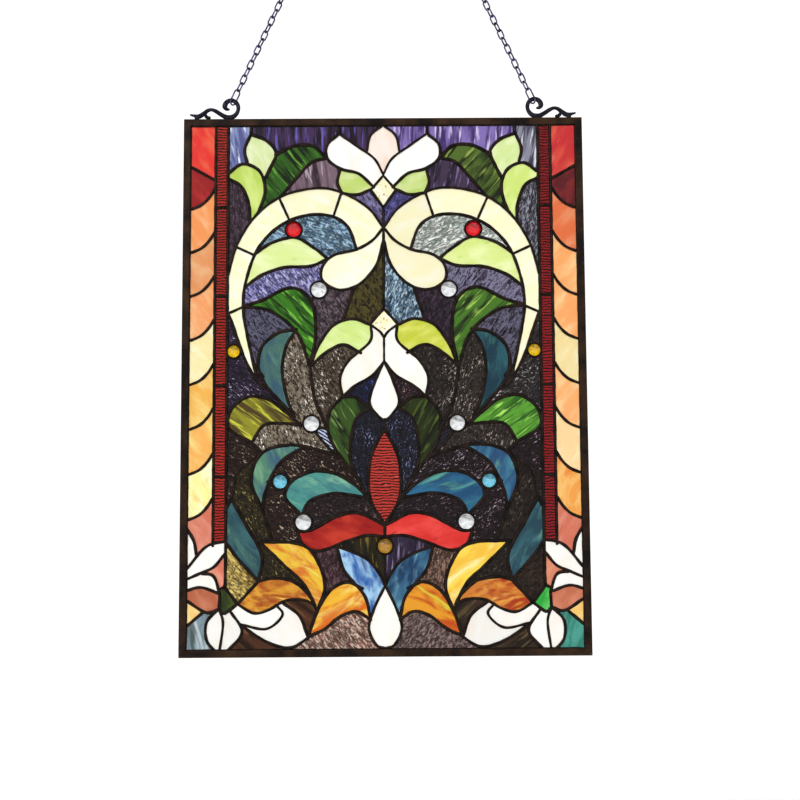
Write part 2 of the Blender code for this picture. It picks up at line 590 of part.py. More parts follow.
def curve_to_mesh(obj, collection, material=None):
    """A welded mesh object in the curve's place."""
    bpy.context.view_layer.update()
    evaluated = obj.evaluated_get(bpy.context.evaluated_depsgraph_get())
    mesh = bpy.data.meshes.new_from_object(evaluated)
    work = bmesh.new()
    work.from_mesh(mesh)
    bmesh.ops.remove_doubles(work, verts=work.verts, dist=0.000001)
    bmesh.ops.recalc_face_normals(work, faces=work.faces)
    work.to_mesh(mesh)
    work.free()
    name = obj.name
    solid = bpy.data.objects.new(name, mesh)
    solid.matrix_world = obj.matrix_world.copy()
    bpy.data.objects.remove(obj, do_unlink=True)
    solid.name = name
    mesh.materials.clear()
    if material:
        mesh.materials.append(material)
    collection.objects.link(solid)
    return solid


def hide_guide(obj):
    obj.hide_render = True
    obj.display_type = "WIRE"


def join_or_cut(target, tool, operation):
    modifier = target.modifiers.new(operation.lower(), "BOOLEAN")
    modifier.object = tool
    modifier.operation = operation
    modifier.solver = "EXACT"


def rectangle(edge):
    """The panel's outline moved inwards by the edge."""
    side = HALF_WIDTH - edge
    return [(-side, edge), (side, edge), (side, PANEL_HEIGHT - edge), (-side, PANEL_HEIGHT - edge)]


def mirrored(loop):
    return loop[::-1] * np.array([-1.0, 1.0])


def whole_field(field):
    """Both halves of a field that is drawn for the right half."""
    return np.hstack([field[:, :0:-1], field])


def build_frame(collection, cutters, material):
    """Channel bars soldered round the panel, open towards the glass."""
    ring = flat_piece("frame", [rectangle(0.0), rectangle(BAR_WIDTH)], FRAME_DEPTH, 0.0, collection)
    frame = curve_to_mesh(ring, collection, material)
    slot = flat_piece("channel_slot", [rectangle(SLOT_FLOOR)], 2 * SLOT_HALF, 0.0, cutters)
    slot = curve_to_mesh(slot, cutters)
    hide_guide(slot)
    join_or_cut(frame, slot, "DIFFERENCE")


def straight_openings():
    """The back's plainer openings, between the upright leads alone."""
    top = PANEL_HEIGHT - BAR_WIDTH
    half_bead = LEADS["column"][0] / 2
    column = COLUMN_LEAD * SCALE_U
    strip = STRIP_LEAD * SCALE_U
    edges = [-OPENING_HALF, -column - half_bead, -column + half_bead, -strip - half_bead, -strip + half_bead,
             strip - half_bead, strip + half_bead, column - half_bead, column + half_bead, OPENING_HALF]
    return [[(low, BAR_WIDTH), (high, BAR_WIDTH), (high, top), (low, top)]
            for low, high in zip(edges[::2], edges[1::2])]


def build_solder(daylight, us, zs, collection, cutters, material):
    """One net of beads on both faces, joined by the tinned edge inside the channel."""
    wide = np.concatenate([-us[:0:-1], us])
    field = whole_field(daylight)
    front_holes = tidy_outlines(field, wide, zs, BEAD_TOLERANCE, SMALLEST_PANE)
    middle = (BEAD_INNER + BEAD_OUTER) / 2
    front = flat_piece("solder_lines", [rectangle(WEB_EDGE), *front_holes], BEAD_HEIGHT, -middle, collection)
    front = curve_to_mesh(front, collection, material)
    back = flat_piece("back_beads", [rectangle(WEB_EDGE), *straight_openings()], BEAD_HEIGHT, middle, cutters)
    back = curve_to_mesh(back, cutters)
    rim = flat_piece("tinned_edge", [rectangle(RIM_EDGE), rectangle(RIM_EDGE + RIM_WIDTH)], 2 * middle, 0.0, cutters)
    rim = curve_to_mesh(rim, cutters)
    for piece in (rim, back):
        hide_guide(piece)
        join_or_cut(front, piece, "UNION")


def build_glass(lines, daylight, us, zs, collection):
    """Panes fused into sheets across their soldered seams."""
    labels = label_panes(daylight)
    names, sheets = sheet_map(labels, us, zs)
    pieces = seam_pieces(lines, sheets, us, zs)
    for number, name in enumerate(names, start=1):
        colour = SHEETS[name][0] if name in SHEETS else REST_COLOUR
        material = make_material(f"{name}_colour", colour, 0.25, transmission=0.6)
        shared = name in SHARED_BY_BOTH_HALVES
        field, across, up = into_channel(sheet_field(number, shared, pieces, sheets, us, zs), us, zs)
        if shared:
            field = whole_field(field)
            across = np.concatenate([-across[:0:-1], across])
        loops = [keep_corners(loop, GLASS_TOLERANCE) for loop in outlines(field, across, up)
                 if abs(loop_area(loop)) > SMALLEST_PANE]
        if shared:
            sheet = flat_piece(name, loops, GLASS_THICKNESS, 0.0, collection)
            curve_to_mesh(sheet, collection, material)
            continue
        for word, own_loops in (("right", loops), ("left", [mirrored(loop) for loop in loops])):
            sheet = flat_piece(f"{name}_{word}", own_loops, GLASS_THICKNESS, 0.0, collection)
            curve_to_mesh(sheet, collection, material)


def build_jewel(name, x, z, radius, collection, material):
    """A cut glass cabochon held by its ring of solder, turned about Y."""
    neck = radius - BEAD_TOLERANCE - CLEARANCE
    crown = BEAD_OUTER + JEWEL_HEIGHT
    girdle = radius + CLEARANCE
    profile = [(0.0, HALF_GLASS), (girdle, HALF_GLASS), (girdle, -HALF_GLASS), (neck, -HALF_GLASS),
               (neck, -BEAD_OUTER), (0.6 * neck, -BEAD_OUTER - 0.75 * JEWEL_HEIGHT), (0.0, -crown)]
    mesh = bpy.data.meshes.new(name)
    mesh.from_pydata([(r * MM, y * MM, 0.0) for r, y in profile], [(k, k + 1) for k in range(len(profile) - 1)], [])
    mesh.materials.append(material)
    obj = bpy.data.objects.new(name, mesh)
    obj.location = (x * MM, 0.0, (PANEL_FOOT + z) * MM)
    collection.objects.link(obj)
    turn = obj.modifiers.new("turn", "SCREW")
    turn.axis = "Y"
    turn.steps = 8
    turn.render_steps = 8
    turn.use_merge_vertices = True
    turn.merge_threshold = 0.00001


def build_hooks(collection, material):
    """The cast scroll that is soldered on each top corner and takes the chain."""
    us = np.arange(-16.0, 50.0, SCROLL_GRID)
    zs = np.arange(-3.0, 30.0, SCROLL_GRID)
    field = np.full((len(zs), len(us)), 9.0)
    for stroke in SCROLL:
        curve = smooth_line(stroke)
        for start, end in zip(curve[:-1], curve[1:]):
            stroke_distance(field, us, zs, start, end, 9.0)
    field = np.minimum(-field, (zs - CLEARANCE)[:, None])
    for side, word in ((1, "right"), (-1, "left")):
        loops = [keep_corners(loop, SCROLL_TOLERANCE) for loop in outlines(field, us, zs) if abs(loop_area(loop)) > 3]
        loops = [(loop + np.array([HOOK_CENTRE, PANEL_HEIGHT])) * np.array([side, 1]) for loop in loops]
        flat_piece(f"hook_{word}", loops, HOOK_THICKNESS, 0.0, collection, material)


def ring_mesh(length, width, wire, corners, sides=3):
    """A closed wire ring in the XZ plane, long in Z, as a bmesh."""
    work = bmesh.new()
    half_length = (length - wire) / 2
    half_width = (width - wire) / 2
    round_end = corners % 4 == 0
    rows = []
    for corner in range(corners):
        angle = 2 * math.pi * (corner + 0.5) / corners
        outward = Vector((math.sin(angle), 0.0, math.cos(angle)))
        if round_end:
            straight = math.copysign(half_length - half_width, outward.z)
            centre = Vector((half_width * outward.x, 0.0, straight + half_width * outward.z))
        else:
            centre = Vector((half_width * outward.x, 0.0, half_length * outward.z / math.cos(math.pi / corners)))
        row = []
        for side in range(sides):
            turn = math.pi + 2 * math.pi * side / sides
            place = centre + outward * (wire / 2 * math.cos(turn)) + Vector((0.0, wire / 2 * math.sin(turn), 0.0))
            row.append(work.verts.new(place * MM))
        rows.append(row)
    for row, following in zip(rows, rows[1:] + rows[:1]):
        for side in range(sides):
            after = (side + 1) % sides
            work.faces.new((row[side], row[after], following[after], following[side]))
    bmesh.ops.recalc_face_normals(work, faces=work.faces)
    return work


def add_link(chain, centre, direction, turn, length, width, wire, corners):
    """Put one link in the chain's mesh, turned about the chain's own line."""
    work = ring_mesh(length, width, wire, corners)
    lean = Vector((0.0, 0.0, 1.0)).rotation_difference(direction).to_matrix().to_4x4()
    place = Matrix.Translation(centre * MM) @ lean @ Matrix.Rotation(turn, 4, "Z")
    bmesh.ops.transform(work, matrix=place, verts=work.verts)
    part = bpy.data.meshes.new("link")
    work.to_mesh(part)
    work.free()
    chain.from_mesh(part)
    bpy.data.meshes.remove(part)


def build_chain(collection, cutters, material):
    """Two runs of links from the scrolls up to the ring at the peak, fused where they touch."""
    links = (bmesh.new(), bmesh.new())
    for side in (1, -1):
        direction = Vector((-side * math.sin(TILT), 0.0, math.cos(TILT)))
        start = Vector((side * EYE_X, 0.0, EYE_Z)) - direction * (HOOK_SECTION / 2 + EYE_SLACK)
        add_link(links[1], start + direction * FIRST_LINK / 2, direction, -side * math.radians(62),
                 FIRST_LINK + 2 * CHAIN_WIRE, FIRST_LINK_WIDTH, CHAIN_WIRE, 8)
        for k in range(LINKS_A_SIDE):
            centre = start + direction * (FIRST_LINK + LINK_PITCH * (k + 0.5))
            add_link(links[k % 2], centre, direction, side * math.radians(-45 if k % 2 else 45),
                     LINK_PITCH + 2 * CHAIN_WIRE - LINK_OVERLAP, LINK_WIDTH, CHAIN_WIRE, 6)
    add_link(links[LINKS_A_SIDE % 2], Vector((0.0, 0.0, PEAK_CENTRE)), Vector((0.0, 0.0, 1.0)), 0.0,
             2 * PEAK_RING, 2 * PEAK_RING, PEAK_WIRE, 12)
    made = []
    for name, mesh_links, home in (("chain", links[0], collection), ("other_links", links[1], cutters)):
        mesh = bpy.data.meshes.new(name)
        mesh_links.to_mesh(mesh)
        mesh_links.free()
        mesh.materials.append(material)
        obj = bpy.data.objects.new(name, mesh)
        home.objects.link(obj)
        made.append(obj)
    hide_guide(made[1])
    join_or_cut(made[0], made[1], "UNION")


def build_panel():
    clear_scene()
    parts = make_collection("stained_glass_panel")
    cutters = make_collection("cutters")
    patina = make_material("dark_bronze", (0.07, 0.05, 0.04), 0.45, metallic=0.9)
    solder = make_material("blackened_solder", (0.03, 0.028, 0.026), 0.4, metallic=0.8)
    lines, us, zs = cartoon()
    daylight = daylight_field(lines, us, zs)
    build_frame(parts, cutters, patina)
    build_solder(daylight, us, zs, parts, cutters, solder)
    build_glass(lines, daylight, us, zs, parts)
    for name, x, z, radius in jewel_places():
        material = make_material(f"jewel_{name}_colour", JEWEL_COLOURS[name], 0.08, transmission=0.9)
        if x < 1.0:
            build_jewel(f"jewel_{name}", 0.0, z, radius, parts, material)
            continue
        for side, word in ((1, "right"), (-1, "left")):
            build_jewel(f"jewel_{name}_{word}", side * x, z, radius, parts, material)
    build_hooks(parts, patina)
    build_chain(parts, cutters, patina)


build_panel()
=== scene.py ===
# %% [markdown]
# # A stained glass panel that hangs in a window
#
# The real panel is built by the copper foil method. Each pane of coloured glass is cut to a paper
# cartoon, its edge is wrapped in foil, and solder is run along every seam until it stands up as a
# round bead. A metal channel is fitted round the whole, two cast scrolls are soldered on its top
# corners, and a chain holds it. This lesson follows the same order: the cartoon first, then the
# beads, the panes, the jewels, the channel, the scrolls and the chain.

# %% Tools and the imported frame
import json
import math

import bpy
import numpy as np
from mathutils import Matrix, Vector
from mathutils.geometry import tessellate_polygon


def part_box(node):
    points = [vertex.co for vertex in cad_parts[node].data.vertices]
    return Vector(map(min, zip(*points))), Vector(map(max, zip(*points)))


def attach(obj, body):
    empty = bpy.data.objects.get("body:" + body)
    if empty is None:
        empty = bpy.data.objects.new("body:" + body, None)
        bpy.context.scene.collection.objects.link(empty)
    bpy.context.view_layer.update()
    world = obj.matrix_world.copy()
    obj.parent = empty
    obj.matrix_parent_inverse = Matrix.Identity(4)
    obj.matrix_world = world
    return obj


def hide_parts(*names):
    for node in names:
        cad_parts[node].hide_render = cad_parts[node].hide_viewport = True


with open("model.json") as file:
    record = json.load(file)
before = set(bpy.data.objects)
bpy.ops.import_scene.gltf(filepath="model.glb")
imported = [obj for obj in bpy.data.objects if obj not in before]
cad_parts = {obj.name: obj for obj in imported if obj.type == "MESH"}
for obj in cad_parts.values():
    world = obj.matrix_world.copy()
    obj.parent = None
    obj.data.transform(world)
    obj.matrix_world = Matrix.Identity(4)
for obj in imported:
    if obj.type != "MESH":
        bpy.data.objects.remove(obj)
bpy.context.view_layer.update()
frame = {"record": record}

MM = 0.001
random = np.random.default_rng(1890)
panel_low, panel_high = (np.array(corner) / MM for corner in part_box("frame"))
PANEL_FOOT = panel_low[2]
PANEL_WIDTH = panel_high[0] - panel_low[0]
PANEL_HEIGHT = panel_high[2] - panel_low[2]
print("panel", PANEL_WIDTH, "by", PANEL_HEIGHT, "mm")

# %% [markdown]
# ## The cartoon
#
# A glazier draws the leads at full size on paper. Here every lead of the right half is a list of
# places: its distance from the centre line and its height above the panel's foot, in millimetres,
# after the width of its bead. The left half is the same drawing turned over, so it is only worked
# out, never written down.

# %% The leads of the right half
# Each row: the lead, the width of its bead, and the places that it goes through
LEAD_ROWS = """
bud_stem 3.6 151,602 152,591
bud_outer 3.4 152,591 158.9,573 155.5,556
bud_inner 3.6 152,591 134,583.5 122.8,569.5 129,552.5 136,538.5
comma_top 3.4 178,545 161,556.3 142,548 135.3,526.5 141.5,503 146,496
comma_low 3.4 178,539.5 162,529.5 153.6,508 152.5,488
leaf1_top 3.6 123.5,567 101.5,577.3 80,576.5 65,562.5
leaf1_low 3.4 64.5,562.5 82.5,557.5 99.5,539.3 117,518.5
petal_stem 3.6 50.5,602 50.5,591
petal_outer 3.2 50.5,591 64,578.3 63.8,561.8 48,549.8 28,544.2 11,528.5
petal_inner 2.4 50.5,591 30,576.5 10,561.5 0,543
diamond1_up 2.4 0,542 14.5,525
diamond1_low 3.2 14.5,525 0,504.5
centre_petal 2.6 0,601 14.5,588.8 18.8,569
small_leaf_end 3.2 49,550 52.5,534 47,521
small_leaf_low 3.2 14,526 29.5,519.8 48,521.5
arch_outer 2.6 0,481 17.5,504.3 47,522 75,527.6 114,519.3 145,496.8 166.5,463.5 177.5,425
arch_inner 3.2 30.6,456 41,482.8 61,495.3 90,495.6 119,483.5 143,458 156,423 159.8,392 155.3,360 143.5,307
arch_tail 3.2 178,387 171.3,370 157,330 143,305.5 135,298
arch_bar1 2.6 48,522.5 57,495
arch_bar2 2.6 119.5,517 107.5,490.5
arch_bar3 2.6 168.5,460 147,450
arch_bar4 2.6 178,382.5 159,391
curl_top 3.0 0.5,481 13,466.3 32,455.8 56,450 69.5,437.2 69.3,420 50,409.6 27,416.6 8.3,438.3 0.5,466
centre_top 2.8 0,506 0,388
arch_leaf_top 3.4 63.5,445.5 80.5,459 101,470.2 127,464.5 148,450.5
arch_leaf_low 3.4 64.5,445 84,437 113,435.8 139,427 157.5,413.5
leaf2_top 3.6 159.5,391.5 137.5,398.5 105.5,412.4 82.3,397 77.3,358.5 84,322
leaf2_low 3.4 159.5,391.5 128,385.5 98,360 84,322
ground_bar 3.2 34,411.5 46.5,374.5
teal_top 3.6 99.5,364.5 119.5,360.8 137.3,346.5 142.2,323.5 133.2,300.5 103,267.5
teal_side 3.2 99.5,364.5 110.8,345 115.2,318 110,288 101,265
seam 3.4 84,322 78.3,285 63.5,251
lime_outer 3.2 84,322 72.8,348.5 56.3,369.8 34.5,376.2 16,369.5
lime_inner 3.4 84,322 65,338.5 46,346.8 26.5,337.5
diamond2_up 3.0 0,388 16,370
diamond2_low 2.6 16,370 4.5,361.5 0,354.5
petal2_outer 2.8 15,370 15.8,350.5 39.3,329.3 49.6,310 47,287.5
petal2_inner 2.8 0,327.5 14,311.2 33,300.2 47.5,287.5
centre_mid 2.2 0,356 0,325
drop2 2.8 0,328 10.3,304.5 16.6,281.5 8,266.8 0,260
leaf3_top 3.2 47.5,287.5 32,286.6 16,275
leaf3_left 3.4 47.5,287.5 61,272 63.7,251 54.7,228.3 30.5,196
leaf3_right 3.2 16,275 33,260.5 38.7,221 30.5,196
stem 3.2 30.5,196 18,174
red_leaf 3.4 0,252 15.7,218 17,175.5 0,143.5
centre_short 3.0 0,262 0,250
olive_top 3.4 94,256 113,272.5 132,286 154,288.2 172,274.5 175,253 149,236.5
olive_low 3.2 94,256 116,258.2 136,256 149,236.5
olive_foot 3.6 149,236.5 138,225.5
scroll_top 3.4 50,219 68,226.3 105,233.8 138,224.5 149.3,194 136.5,161
scroll_inner 3.4 91,232 118,213 133.5,182 136.5,161
stripe_low 2.6 78,248.5 64,231.5 50,219
stripe_top 3.0 63.5,251 75,254
tcomma_outer 3.4 18,174 35,190 57,201.8 81,203.8 103,193.8 111.5,176 94,156
tcomma_inner 3.0 18,174 56,179.4 83.5,171.3 93,155.5
jewel_bar 3.0 122,192.7 131,192.7
fall 3.2 136.5,161 125,125.4
shade 2.2 139.5,226 149,216.5 163.5,204.5 169,187 171.5,174
low_teal_left 3.0 171.5,174 178.5,160
low_teal_right 3.6 171.5,174 155.5,145.5 137.2,111 141,82.5
low_teal_low 3.4 178.5,127 164,107.5 141,82.5
gold_right 3.2 164,57.5 141,82.5
gold_left 3.2 164,57.5 178.7,76.5
corner_high 3.4 221,141 213,127 210,111
wing1_top 3.0 177.6,127 199.5,120.8 221,96
wing1_low 3.0 178.5,113 190.5,98.7 206,91.5 221,85
wing2_top 3.2 206,91.5 191,88.5 183.7,69
wing2_low 3.0 221,72.5 204.5,76.2 183.7,69
cup_side 3.2 183.7,69 184.5,52.5
cup_low 3.2 184.5,52.5 199,48.6 221,62
corner_low 3.2 202,49 221,33
petal3_out 3.0 184.5,52.5 198,38 197.8,18 187,5
petal3_mid 2.6 184.5,52.5 179.9,36 183.8,5
petal3_in 3.0 172,50 158.8,27 176,5
cup_foot 3.2 184.5,52.5 178.5,47.5 164,57.5
sweep 3.0 161,35.5 144.5,23.7 124.5,13.2 103.5,10 84,21.5
sweep_tip 2.6 121,56.5 114,45 132,30.3 161,35.5
sweep_right 3.0 114,58.5 95.5,44.5 85.5,20
orange_top 3.4 141,82.5 125,86 102,82 84.5,67 78,56
orange_low 2.8 164,57.5 146,47.6 129.5,51 110.5,61.2 90.5,61.5 78,56
yellow_top 3.4 139.5,126 99.5,124.3 80,112.5 67,79 75.5,49
yellow_low 3.2 139.5,126 111,98.5 90,78.5 75.5,49
amber_top 3.4 25.5,74 43,81 61.5,71.5 75.5,49 85.5,21.5
amber_low 3.2 85.5,21.5 67,30 50,43.3 32,48.6 16.2,39.5
blue_top 3.0 54,121 23,108 7.5,91.8 0,76
blue_low 3.2 54,121 45,93 23,66 16.2,39.5
drop3 2.8 0,77 11.3,54 18.2,31 10.5,12.5 0,8.5
centre_low 2.6 0,113 0,76
centre_wing 3.2 0,146 0,128
wing_top 3.4 0,143.5 28,156.9 52,154.3 82,138.9 98,137.5
wing_low 3.2 0,131 21,132.2 43,126 73,115.6 91,122.5 98,137.5
column 3.0 191.9,602 191.9,122
strip 3.2 177.6,602 177.6,127 178.7,76.5
column_bar 3.2 221,553.5 191.9,537
jewel_leaf_bar 3.0 79.5,404 83,396
arch_tip_bar 2.8 146,323 136.5,311
petal_foot_bar 3.0 107,8.5 107,4
cup_neck 3.0 178.7,76.5 184,74
"""


def read_places(words):
    """Places written as the distance from the centre line, a comma and the height."""
    return [tuple(float(value) for value in word.split(",")) for word in words]


LEADS = {}
for row in LEAD_ROWS.strip().splitlines():
    name, width, *words = row.split()
    LEADS[name] = (float(width), read_places(words))
COLUMN_LEAD, STRIP_LEAD = (LEADS[name][1][0][0] for name in ("column", "strip"))
CARTOON_EDGE = 221
COLUMN_BARS = [503.0 - 50.4 * step for step in range(8)]
STRIP_BARS = [506.0 - 102.4 * step for step in range(4)]
for number, low in enumerate(COLUMN_BARS):
    LEADS[f"column_bar_{number}"] = (3.0, [(COLUMN_LEAD, low + 26), (198.6, low + 14.8), (208, low + 5.6),
                                           (CARTOON_EDGE, low)])
for number, low in enumerate(STRIP_BARS):
    LEADS[f"strip_bar_{number}"] = (3.0, [(STRIP_LEAD, low), (COLUMN_LEAD, low)])
JEWELS = {
    "red": (102.5, 479.3, 8.3), "clear_high": (73.7, 409.7, 8.6), "amber": (170, 339.7, 6.7),
    "clear_mid": (82, 257.5, 8.4), "blue": (117, 192.7, 7.5), "clear_low": (91, 147.3, 8.6),
    "amber_centre": (0, 120.6, 8.0),
}
CHANNEL_BAR = 8.1
CARTOON_FOOT, CARTOON_HALF_WIDTH, CARTOON_HEIGHT = 7.5, 220.5, 593.0
SCALE_U = (PANEL_WIDTH / 2 - CHANNEL_BAR) / CARTOON_HALF_WIDTH
SCALE_Z = (PANEL_HEIGHT - 2 * CHANNEL_BAR) / CARTOON_HEIGHT
print(len(LEADS), "leads in each half")

# %% [markdown]
# ## Curves through the places
#
# A glazier bends each lead through its places with one easy sweep of the hand. A Catmull-Rom curve
# does the same: it passes through every place and keeps its direction from one to the next. The
# places are then spaced evenly along it, so that beads made on it have even rings.

# %% Smooth and evenly spaced lines
LEAD_STEP = 0.6


def to_panel(places):
    """Cartoon places scaled to the opening of the channel, in millimetres above the panel's foot."""
    rows = np.array(places, dtype=float)
    rows[:, 0] *= SCALE_U
    rows[:, 1] = CHANNEL_BAR + (rows[:, 1] - CARTOON_FOOT) * SCALE_Z
    return rows


def sweep_through(rows, steps=14):
    """Catmull-Rom: each stretch blends four neighbouring places with cubic weights."""
    if len(rows) < 3:
        share = np.linspace(0.0, 1.0, steps)[:, None]
        return rows[0] + (rows[-1] - rows[0]) * share
    ends = np.vstack([2 * rows[0] - rows[1], rows, 2 * rows[-1] - rows[-2]])
    before, start, end, after = (ends[k:len(ends) - 3 + k, None, :] for k in range(4))
    t = np.linspace(0.0, 1.0, steps, endpoint=False)[None, :, None]
    curve = 0.5 * (2 * start + (end - before) * t + (2 * before - 5 * start + 4 * end - after) * t ** 2
                   + (3 * start - before - 3 * end + after) * t ** 3)
    return np.vstack([curve.reshape(-1, rows.shape[1]), rows[-1:]])


def lengths_along(line):
    """At each place the sum of the distances between neighbours before it."""
    return np.concatenate([[0.0], np.cumsum(np.hypot(*np.diff(line, axis=0).T))])


def even_steps(curve, spacing, fewest=4):
    """Places at equal lengths along a curve, found by reading its length as a table."""
    lengths = lengths_along(curve[:, -2:])
    count = max(fewest, int(round(lengths[-1] / spacing)) + 1)
    stops = np.linspace(0.0, lengths[-1], count)
    return np.stack([np.interp(stops, lengths, column) for column in curve.T], axis=1)


jewel_places = [(name, *to_panel([(u, z)])[0], radius) for name, (u, z, radius) in JEWELS.items()]
lead_lines = [(width, even_steps(sweep_through(to_panel(places)), LEAD_STEP)) for width, places in LEADS.values()]
print("lead in each half:", round(sum(len(line) for _, line in lead_lines) * LEAD_STEP * MM, 1), "m")

# %% [markdown]
# ## Where the panes are
#
# The panes are what the leads leave free. Think of a map that holds, at each place, the distance to
# the nearest lead. Where the distance is more than a small gap there is glass, and the line where it
# is exactly the gap is the outline of a pane. The gap is a little less than half the lead's width,
# because the glass goes some way under the bead. The map has a cell every 0.6 mm, and the outline is
# found with marching squares, which reads each cell's four corners.

# %% The distance map of both halves
CELL = 0.6
FAR = 99.0
CHORD = 3.0
CHORD_REACH = 9.0
GLASS_GAP = 0.55
GLASS_UNDER_BEAD = 0.6
JEWEL_GAP = 1.2
GLASS_EDGE = 2.6
map_u = np.arange(0.0, PANEL_WIDTH / 2 + CELL, CELL)
map_z = np.arange(-CELL, PANEL_HEIGHT + 2 * CELL, CELL)


def distance_map():
    """At each cell the distance to the nearest lead, less the gap; below zero there is no glass.

    Inside the channel the map repeats its last row or column, so the panes run straight on under it.
    """
    field = np.full((len(map_z), len(map_u)), FAR)
    for width, line in lead_lines:
        coarse = even_steps(line, CHORD)
        gap = max(GLASS_GAP, width / 2 - GLASS_UNDER_BEAD)
        for start, end in zip(coarse[:-1], coarse[1:]):
            low = np.minimum(start, end) - CHORD_REACH
            high = np.maximum(start, end) + CHORD_REACH
            rows = slice(*np.searchsorted(map_z, (low[1], high[1])))
            columns = slice(*np.searchsorted(map_u, (low[0], high[0])))
            u = map_u[columns][None, :] - start[0]
            z = map_z[rows][:, None] - start[1]
            along = end - start
            share = np.clip((u * along[0] + z * along[1]) / (along @ along), 0.0, 1.0)
            distance = np.hypot(u - share * along[0], z - share * along[1]) - gap
            field[rows, columns] = np.minimum(field[rows, columns], distance)
    for _, u, z, radius in jewel_places:
        field = np.minimum(field, np.hypot(map_u[None, :] - u, map_z[:, None] - z) - radius - JEWEL_GAP)
    opening_z = np.searchsorted(map_z, (CHANNEL_BAR, PANEL_HEIGHT - CHANNEL_BAR))
    rows = np.clip(np.arange(len(map_z)), *opening_z)
    columns = np.minimum(np.arange(len(map_u)), np.searchsorted(map_u, PANEL_WIDTH / 2 - CHANNEL_BAR))
    field = field[rows][:, columns]
    side = PANEL_WIDTH / 2 - GLASS_EDGE - map_u[None, :]
    height = np.minimum(map_z - GLASS_EDGE, PANEL_HEIGHT - GLASS_EDGE - map_z)[:, None]
    field = np.minimum(np.minimum(field, side), height)
    return np.hstack([field[:, :0:-1], field])


both_u = np.concatenate([-map_u[:0:-1], map_u])
glass_map = distance_map()
print("map of", glass_map.shape, "cells")

# %% Outlines by marching squares
# The edges of a cell are bottom, right, top and left; each case joins two with the glass on its left.
CELL_CASES = dict(enumerate("bl rb rl tr bl,tr tb tl lt bt rb,lt rt lr br lb".split(), start=1))
EDGE_STEP = {"b": (0, 0, 0), "t": (0, 1, 0), "l": (1, 0, 0), "r": (1, 0, 1)}


def outlines(field, us, zs):
    """Closed outlines of the places above zero, each crossing placed by straight interpolation."""
    inside = (field > 0).astype(int)
    code = inside[:-1, :-1] + 2 * inside[:-1, 1:] + 4 * inside[1:, 1:] + 8 * inside[1:, :-1]
    following = {}
    for row, column in zip(*np.nonzero((code > 0) & (code < 15))):
        for pair in CELL_CASES[int(code[row, column])].split(","):
            first, second = ((EDGE_STEP[side][0], row + EDGE_STEP[side][1], column + EDGE_STEP[side][2])
                             for side in pair)
            following[first] = second
    loops = []
    while following:
        edge, after = following.popitem()
        chain_of_edges = [edge]
        while after != edge:
            chain_of_edges.append(after)
            after = following.pop(after)
        upright, row, column = np.array(chain_of_edges).T
        here = field[row, column]
        beside = field[row + upright, column + 1 - upright]
        share = here / (here - beside)
        u = us[column] + share * (1 - upright) * (us[1] - us[0])
        z = zs[row] + share * upright * (zs[1] - zs[0])
        loops.append(np.stack([u, z], axis=1))
    return loops


def loop_area(loop):
    """Half the sum of the cross products of neighbouring places."""
    after = np.roll(loop, -1, axis=0)
    return 0.5 * float(np.sum(loop[:, 0] * after[:, 1] - after[:, 0] * loop[:, 1]))


def fewer_places(loop, tolerance):
    """Keep only the places that lie farther than the tolerance from the chord of the kept ones."""
    keep = {0, len(loop) // 2}
    closed = np.vstack([loop, loop[:1]])
    waiting = [(0, len(loop) // 2), (len(loop) // 2, len(loop))]
    while waiting:
        start, end = waiting.pop()
        if end - start < 2:
            continue
        chord = closed[end] - closed[start]
        offset = closed[start + 1:end] - closed[start]
        distance = np.abs(offset[:, 0] * chord[1] - offset[:, 1] * chord[0])
        distance = distance / max(math.hypot(*chord), 1e-9)
        worst = start + 1 + int(np.argmax(distance))
        if distance.max() > tolerance:
            keep.add(worst)
            waiting += [(start, worst), (worst, end)]
    return closed[sorted(keep)]


RIM_TOLERANCE = 0.12
FEWEST_PLACES = 12
SMALLEST_PANE = 12.0
loops = [fewer_places(loop, RIM_TOLERANCE) for loop in outlines(glass_map, both_u, map_z)
         if len(loop) > FEWEST_PLACES]
pane_rims = [loop for loop in loops if loop_area(loop) > SMALLEST_PANE]
print(len(pane_rims), "panes")

# %% [markdown]
# ## One helper to make a piece
#
# Every piece of the lesson is arrays of places and faces. This helper puts them into a mesh in the
# panel's own frame, gives it its finish, and lets the piece ride on the body that MuJoCo moves.

# %% Arrays to a finished piece
def make_piece(name, places, faces, finish, slot, smooth=True):
    """Places are millimetres with the height from the panel's foot; faces are rows of place numbers."""
    mesh = bpy.data.meshes.new(name)
    world = np.asarray(places, dtype=float) + np.array([0.0, 0.0, PANEL_FOOT])
    mesh.from_pydata(world * MM, [], [face.tolist() for block in faces for face in block])
    mesh.polygons.foreach_set("use_smooth", np.full(len(mesh.polygons), smooth))
    mesh.materials.append(finish)
    mesh.update()
    piece = bpy.data.objects.new(name, mesh)
    bpy.context.scene.collection.objects.link(piece)
    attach(piece, "root")
    return piece


def tube_faces(rings, sides, closed=False):
    """Square faces between neighbouring rings; ring r and side s is place r * sides + s."""
    last = rings if closed else rings - 1
    ring, side = np.divmod(np.arange(last * sides), sides)
    after_ring = (ring + 1) % rings
    after_side = (side + 1) % sides
    return np.stack([ring * sides + side, ring * sides + after_side,
                     after_ring * sides + after_side, after_ring * sides + side], axis=1)


def cap_faces(first, sides, turned):
    """A fan of triangles that closes an end ring: two of its places and the one after, in order."""
    side = np.arange(1, sides - 1)
    fan = np.stack([np.full(len(side), 0), side, side + 1], axis=1) + first
    return fan[:, ::-1] if turned else fan


def full_turn(count):
    """Angles at equal steps round a circle."""
    return np.linspace(0.0, 2 * np.pi, count, endpoint=False)


